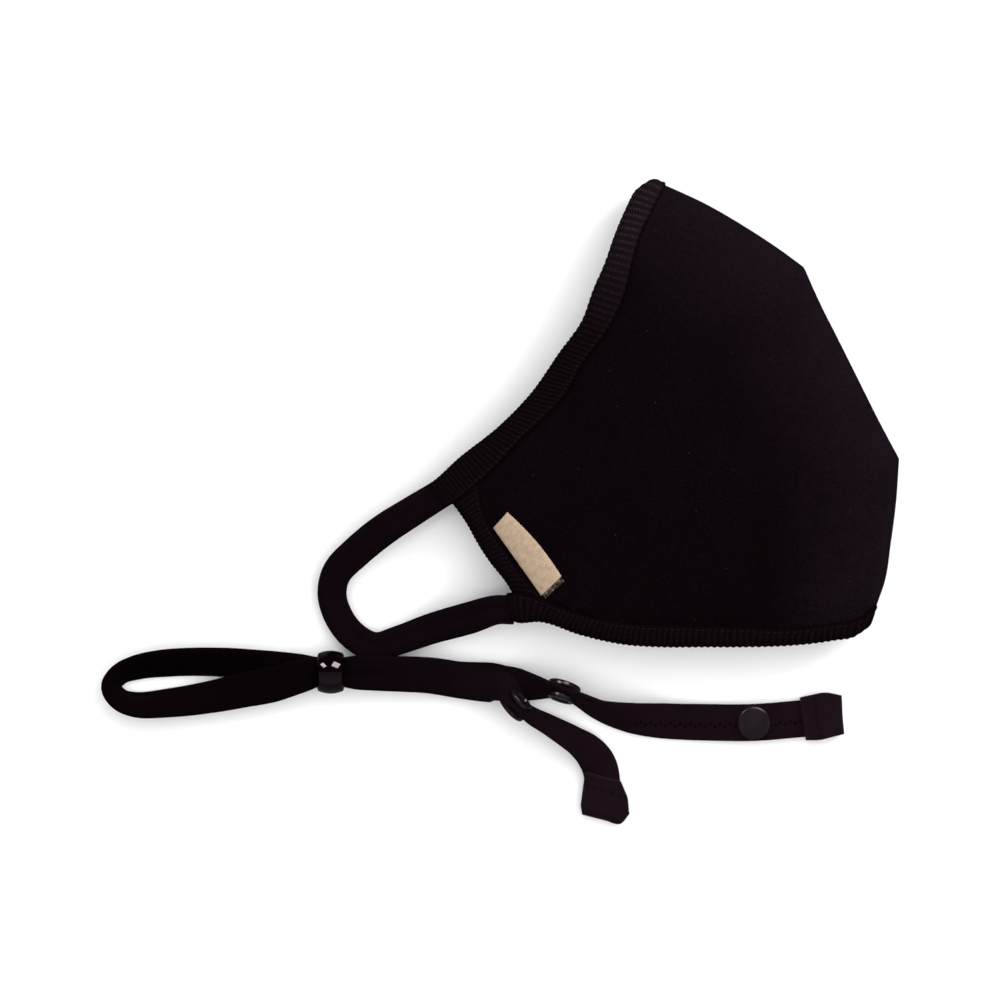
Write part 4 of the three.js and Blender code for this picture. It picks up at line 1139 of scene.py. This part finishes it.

# %% [markdown]
# ## Jersey and elastic
# The ear loop is a cut strip of jersey: fine V-shaped stitches in columns, with faint rungs across
# it where it is stretched round the ear. The head strap is knitted elastic: firmer, with a dense grid
# of small stitches set half a step apart in every other column, which reads as a faint diagonal. A
# zigzag seam dents its right arm and two channels run along its loop, their dents darkened with
# painted shade; the strap is painted darker at the open loop and lighter on its arms, as painted light.

# %% Stitch pattern shared by both
def knitted(name, course, wale, zigzag, dark, light, bump_mm, sheen, marks_and_painted_light=None):
    """A knit cloth; course and wale are the stitch spacings in mm along and across the piece, and zigzag
    is how far a course leans within one wale. marks_and_painted_light may give dents, which sink the
    cloth and are darkened with painted shade, and a painted light that scales the tone."""
    cloth = new_material(name, Roughness=0.88, Specular_IOR_Level=0.04, Specular_Tint=DYE_CAST,
                         Sheen_Weight=sheen, Sheen_Roughness=0.4, Sheen_Tint=DYE_CAST)
    uv = add_node(cloth, "TexCoord").outputs["UV"]
    run = add_node(cloth, "SeparateXYZ", {"Vector": uv})
    column = wave(cloth, run.outputs["Y"], wale)
    leaning = add_node(cloth, "Math MULTIPLY_ADD", (column, zigzag * course, run.outputs["X"]))
    rounded_row = add_node(cloth, "Math POWER", (wave(cloth, leaning, course), 0.8))
    column_height = add_node(cloth, "Math MULTIPLY_ADD", (column, 0.3, 0.7))
    stitch = add_node(cloth, "Math MULTIPLY", (rounded_row, column_height))
    fuzz = add_node(cloth, "TexNoise", {"Vector": uv, "Scale": 2.6, "Detail": 4.0})
    drift = add_node(cloth, "TexNoise", {"Vector": uv, "Scale": 0.11, "Detail": 2.0})
    drift_tone = add_node(cloth, "Math MULTIPLY", (drift, 0.3))
    fuzz_tone = add_node(cloth, "Math MULTIPLY_ADD", (fuzz, 0.35, drift_tone))
    tone = add_node(cloth, "Math MULTIPLY_ADD", (stitch, 0.5, fuzz_tone))
    height = add_node(cloth, "Math MULTIPLY_ADD", (fuzz, 0.35, stitch))
    if marks_and_painted_light:
        dents_and_painted_shade, painted_light_scale = marks_and_painted_light(cloth, run.outputs["X"], run.outputs["Y"])
        # Painted shade in the dents, and painted light that scales the tone
        shaded = add_node(cloth, "Math MULTIPLY_ADD", (dents_and_painted_shade, -0.6, tone))
        tone = add_node(cloth, "Math MULTIPLY", (shaded, painted_light_scale))
        height = add_node(cloth, "Math MULTIPLY_ADD", (dents_and_painted_shade, -1.2, height))
    colour = add_node(cloth, "ValToRGB", {"Fac": tone}, stops=((0.25, dark), (0.95, light)))
    feed_shader(cloth, colour, height, strength=0.7, depth_mm=bump_mm)
    print(cloth.name, len(cloth.node_tree.nodes), "nodes")
    return cloth


# %% Seam, channels and painted light of the elastic
ZIGZAG_END = 57.0                    # mm of the right arm that are doubled and sewn
ZIGZAG_PITCH = 1.4                   # mm between two stitches
ZIGZAG_SWING = 0.9                   # mm from side to side
ZIGZAG_DEPTH = 1.7                   # of its dents, where 1 is a light pull
ZIGZAG_LINE = 0.85                   # mm from the middle of the strap
CHANNEL_LINE = 2.9                   # mm from the middle of the strap
LOOP_HALF = 60.0                     # mm on each side of the bend where the channels show
PAINTED_FALLOFF_FROM = 40.0                   # mm from the bend, where the painted light starts to rise
PAINTED_FALLOFF_FULLY = 150.0
PAINTED_FALLOFF_TONE = 0.3, 1.2               # tone of the painted light at the bend, and on the arms
PAINTED_HIGHLIGHT_EDGE = 0.2, 1.0               # mm from a hem's open edge between which the painted highlight ends
PAINTED_HIGHLIGHT_TONE = 1.7


def elastic_marks_and_painted_light(cloth, along, across):
    """Dents of the zigzag seam on the right arm and of the two channels in the open loop, darkened with
    painted shade, and painted light that is darkest at the open loop and lighter on the arms."""
    beat = add_node(cloth, "Math POWER", (wave(cloth, along, ZIGZAG_PITCH), 2.0))
    shifted = add_node(cloth, "Math ADD", (along, ZIGZAG_PITCH / 2))
    swing = add_node(cloth, "Math PINGPONG", (shifted, ZIGZAG_PITCH))
    zigzag = add_node(cloth, "Math MULTIPLY_ADD", (
        swing, ZIGZAG_SWING / ZIGZAG_PITCH, ZIGZAG_LINE - ZIGZAG_SWING / 2))
    stitches = add_node(cloth, "Math MULTIPLY", (beat, near(cloth, across, zigzag, 1.5)))
    sewn = add_node(cloth, "Math LESS_THAN", (along, ZIGZAG_END))
    sewn_depth = add_node(cloth, "Math MULTIPLY", (sewn, ZIGZAG_DEPTH))
    seam = add_node(cloth, "Math MULTIPLY", (stitches, sewn_depth))
    from_middle = add_node(cloth, "Math ABSOLUTE", (across,))
    channel = add_node(cloth, "Math MULTIPLY", (near(cloth, from_middle, CHANNEL_LINE, 1.1), 0.55))
    loop_channel = add_node(cloth, "Math MULTIPLY", (channel, near(cloth, along, BEND_RUN, 1 / LOOP_HALF)))
    # Painted light that falls off towards the open loop: darker there, lighter on the arms
    past_bend = add_node(cloth, "Math SUBTRACT", (along, BEND_RUN))
    from_bend = add_node(cloth, "Math ABSOLUTE", (past_bend,))
    painted_light_scale = add_node(cloth, "MapRange", {
        "Value": from_bend, "From Min": PAINTED_FALLOFF_FROM, "From Max": PAINTED_FALLOFF_FULLY,
        "To Min": PAINTED_FALLOFF_TONE[0], "To Max": PAINTED_FALLOFF_TONE[1]})
    return add_node(cloth, "Math MAXIMUM", (seam, loop_channel)), painted_light_scale


def tab_marks_and_painted_light(cloth, along, across):
    """The dents of a row of stitches behind the open edge, darkened with painted shade, and a painted
    highlight along the open edge.
    """
    beat = add_node(cloth, "Math MULTIPLY", (wave(cloth, along, 2.0), 0.9))
    # Painted highlight along the open edge of the hem
    painted_light_scale = add_node(cloth, "MapRange", {
        "Value": across, "From Min": PAINTED_HIGHLIGHT_EDGE[0], "From Max": PAINTED_HIGHLIGHT_EDGE[1],
        "To Min": PAINTED_HIGHLIGHT_TONE, "To Max": 1.0})
    return add_node(cloth, "Math MULTIPLY", (near(cloth, across, STITCH_ROW, 1.4), beat)), painted_light_scale


jersey = knitted("cotton jersey tape, black", course=0.9, wale=0.7, zigzag=0.5, dark="#030002",
                 light="#0D0509", bump_mm=0.14, sheen=0.025)
elastic = knitted("knitted elastic, black", course=0.85, wale=1.1, zigzag=0.8, dark="#020001",
                  light="#170B12", bump_mm=0.15, sheen=0.01, marks_and_painted_light=elastic_marks_and_painted_light)
hem_tape = knitted("plain woven hem tape, black", course=0.62, wale=0.55, zigzag=0.4, dark="#090307",
                   light="#1A0F15", bump_mm=0.08, sheen=0.05, marks_and_painted_light=tab_marks_and_painted_light)

# %% [markdown]
# ## Woven label and plastics
# The label is a woven strip of cream yarn with small slubs. On its back the dark yarn floats from
# figure to figure, so the reverse looks mottled. Bead and snaps are injection moulded: the bead is
# polished and mirrors the lights, and the snaps are satin. Both have a faint moulding grain and small
# rubbed marks.

# %% Woven label
THREAD = 0.42                        # mm, about twice the real thread, so that the weave can be seen
woven = new_material("woven label tape, cream", Roughness=0.8, Specular_IOR_Level=0.3, Sheen_Weight=0.1)
woven_uv = add_node(woven, "TexCoord").outputs["UV"]
woven_run = add_node(woven, "SeparateXYZ", {"Vector": woven_uv})
warp, weft = (wave(woven, woven_run.outputs[way], THREAD) for way in "XY")
both = add_node(woven, "Math ADD", (warp, weft))
weave = add_node(woven, "Math MULTIPLY", (both, 0.5))
slub = add_node(woven, "TexNoise", {"Vector": woven_uv, "Scale": 0.9, "Detail": 4.0})
slub_tone = add_node(woven, "Math MULTIPLY", (slub, 0.55))
woven_tone = add_node(woven, "Math MULTIPLY_ADD", (weave, 0.45, slub_tone))
woven_colour = add_node(woven, "ValToRGB", {"Fac": woven_tone},
                        stops=((0.2, "#806D5A"), (0.55, "#A28C75"), (0.85, "#BAA38B")))
feed_shader(woven, woven_colour, weave, strength=0.6, depth_mm=0.07)
print(woven.name, len(woven.node_tree.nodes), "nodes")

# %% Reverse of the label
reverse = new_material("woven label tape, reverse with floats", Roughness=0.85, Specular_IOR_Level=0.2)
reverse_uv = add_node(reverse, "TexCoord").outputs["UV"]
floats = add_node(reverse, "TexNoise", {
    "Vector": reverse_uv, "Scale": 1.5, "Detail": 3.0, "Roughness": 0.7})
reverse_colour = add_node(reverse, "ValToRGB", {"Fac": floats},
                          stops=((0.42, "#120C0D"), (0.56, "#3A2F2B"), (0.68, "#8C7767")))
feed_shader(reverse, reverse_colour, floats, strength=0.6, depth_mm=0.1)
print(reverse.name, len(reverse.node_tree.nodes), "nodes")


# %% Plastics
def moulded(name, colour, rubbed, mirror, roughness, shine):
    """Injection-moulded plastic with a faint flow grain and lighter rubbed spots. mirror tints what it
    reflects, and shine is how much that is."""
    plastic = new_material(name, IOR=1.46, Specular_IOR_Level=shine, Specular_Tint=linear(mirror))
    place = add_node(plastic, "TexCoord").outputs["Object"]
    flow = add_node(plastic, "TexNoise", {"Vector": place, "Scale": 700.0, "Detail": 4.0})
    rub = add_node(plastic, "TexNoise", {"Vector": place, "Scale": 260.0, "Detail": 6.0})
    tint = add_node(plastic, "ValToRGB", {"Fac": rub}, stops=((0.45, colour), (0.75, rubbed)))
    dull = add_node(plastic, "MapRange", {
        "Value": rub, "To Min": roughness * 0.8, "To Max": roughness * 1.4})
    feed_shader(plastic, tint, flow, strength=0.12, depth_mm=0.05, roughness=dull)
    print(plastic.name, len(plastic.node_tree.nodes), "nodes")
    return plastic


bead_plastic = moulded("polished acrylic bead, black", "#050103", "#080306", "#F9E0EF",
                       roughness=0.05, shine=0.45)
snap_plastic = moulded("moulded acetal snap, black", "#120C10", "#1A1217", "#F6E4F0",
                       roughness=0.22, shine=0.36)

# %% [markdown]
# ## Handing the pieces to the frame
# Every piece gets its material, rides on the one body, and stands for its solid in the imported model.


def finish_piece(piece, material, slot, *nodes):
    """Gives a piece its material and its body, and hides the CAD nodes that it stands for; slot is not used.
    """
    piece.data.materials.clear()
    piece.data.materials.append(material)
    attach(piece, "root")
    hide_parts(*nodes)
    lowest = min(point.co.z for point in piece.data.vertices)
    print(piece.name, "faces:", len(piece.data.polygons), "lowest mm:", round(lowest / MM, 2))


for name in ("right", "left"):
    finish_piece(panels[name], microfibre, "microfibre", f"panel_{name}")
    finish_piece(ear_bindings[name], rib_knit, "rib_knit", f"ear_edge_binding_{name}")
    finish_piece(ear_loops[name], jersey, "jersey", f"ear_loop_{name}")
finish_piece(upper_binding, rib_knit, "rib_knit", "upper_binding")
finish_piece(lower_binding, rib_knit, "rib_knit", "lower_binding")
finish_piece(label, woven, "woven_label", "side_label")
finish_piece(label_reverse, reverse, "woven_label", "side_label")
finish_piece(head_strap, elastic, "knit_elastic", "head_strap")
for name, tab in tabs.items():
    finish_piece(tab, hem_tape, "hem_tape", f"strap_tab_{name}")
finish_piece(bead, bead_plastic, "bead_plastic", "strap_bead")
for name, snap in snaps.items():
    finish_piece(snap, snap_plastic, "snap_plastic", f"snap_{name}")
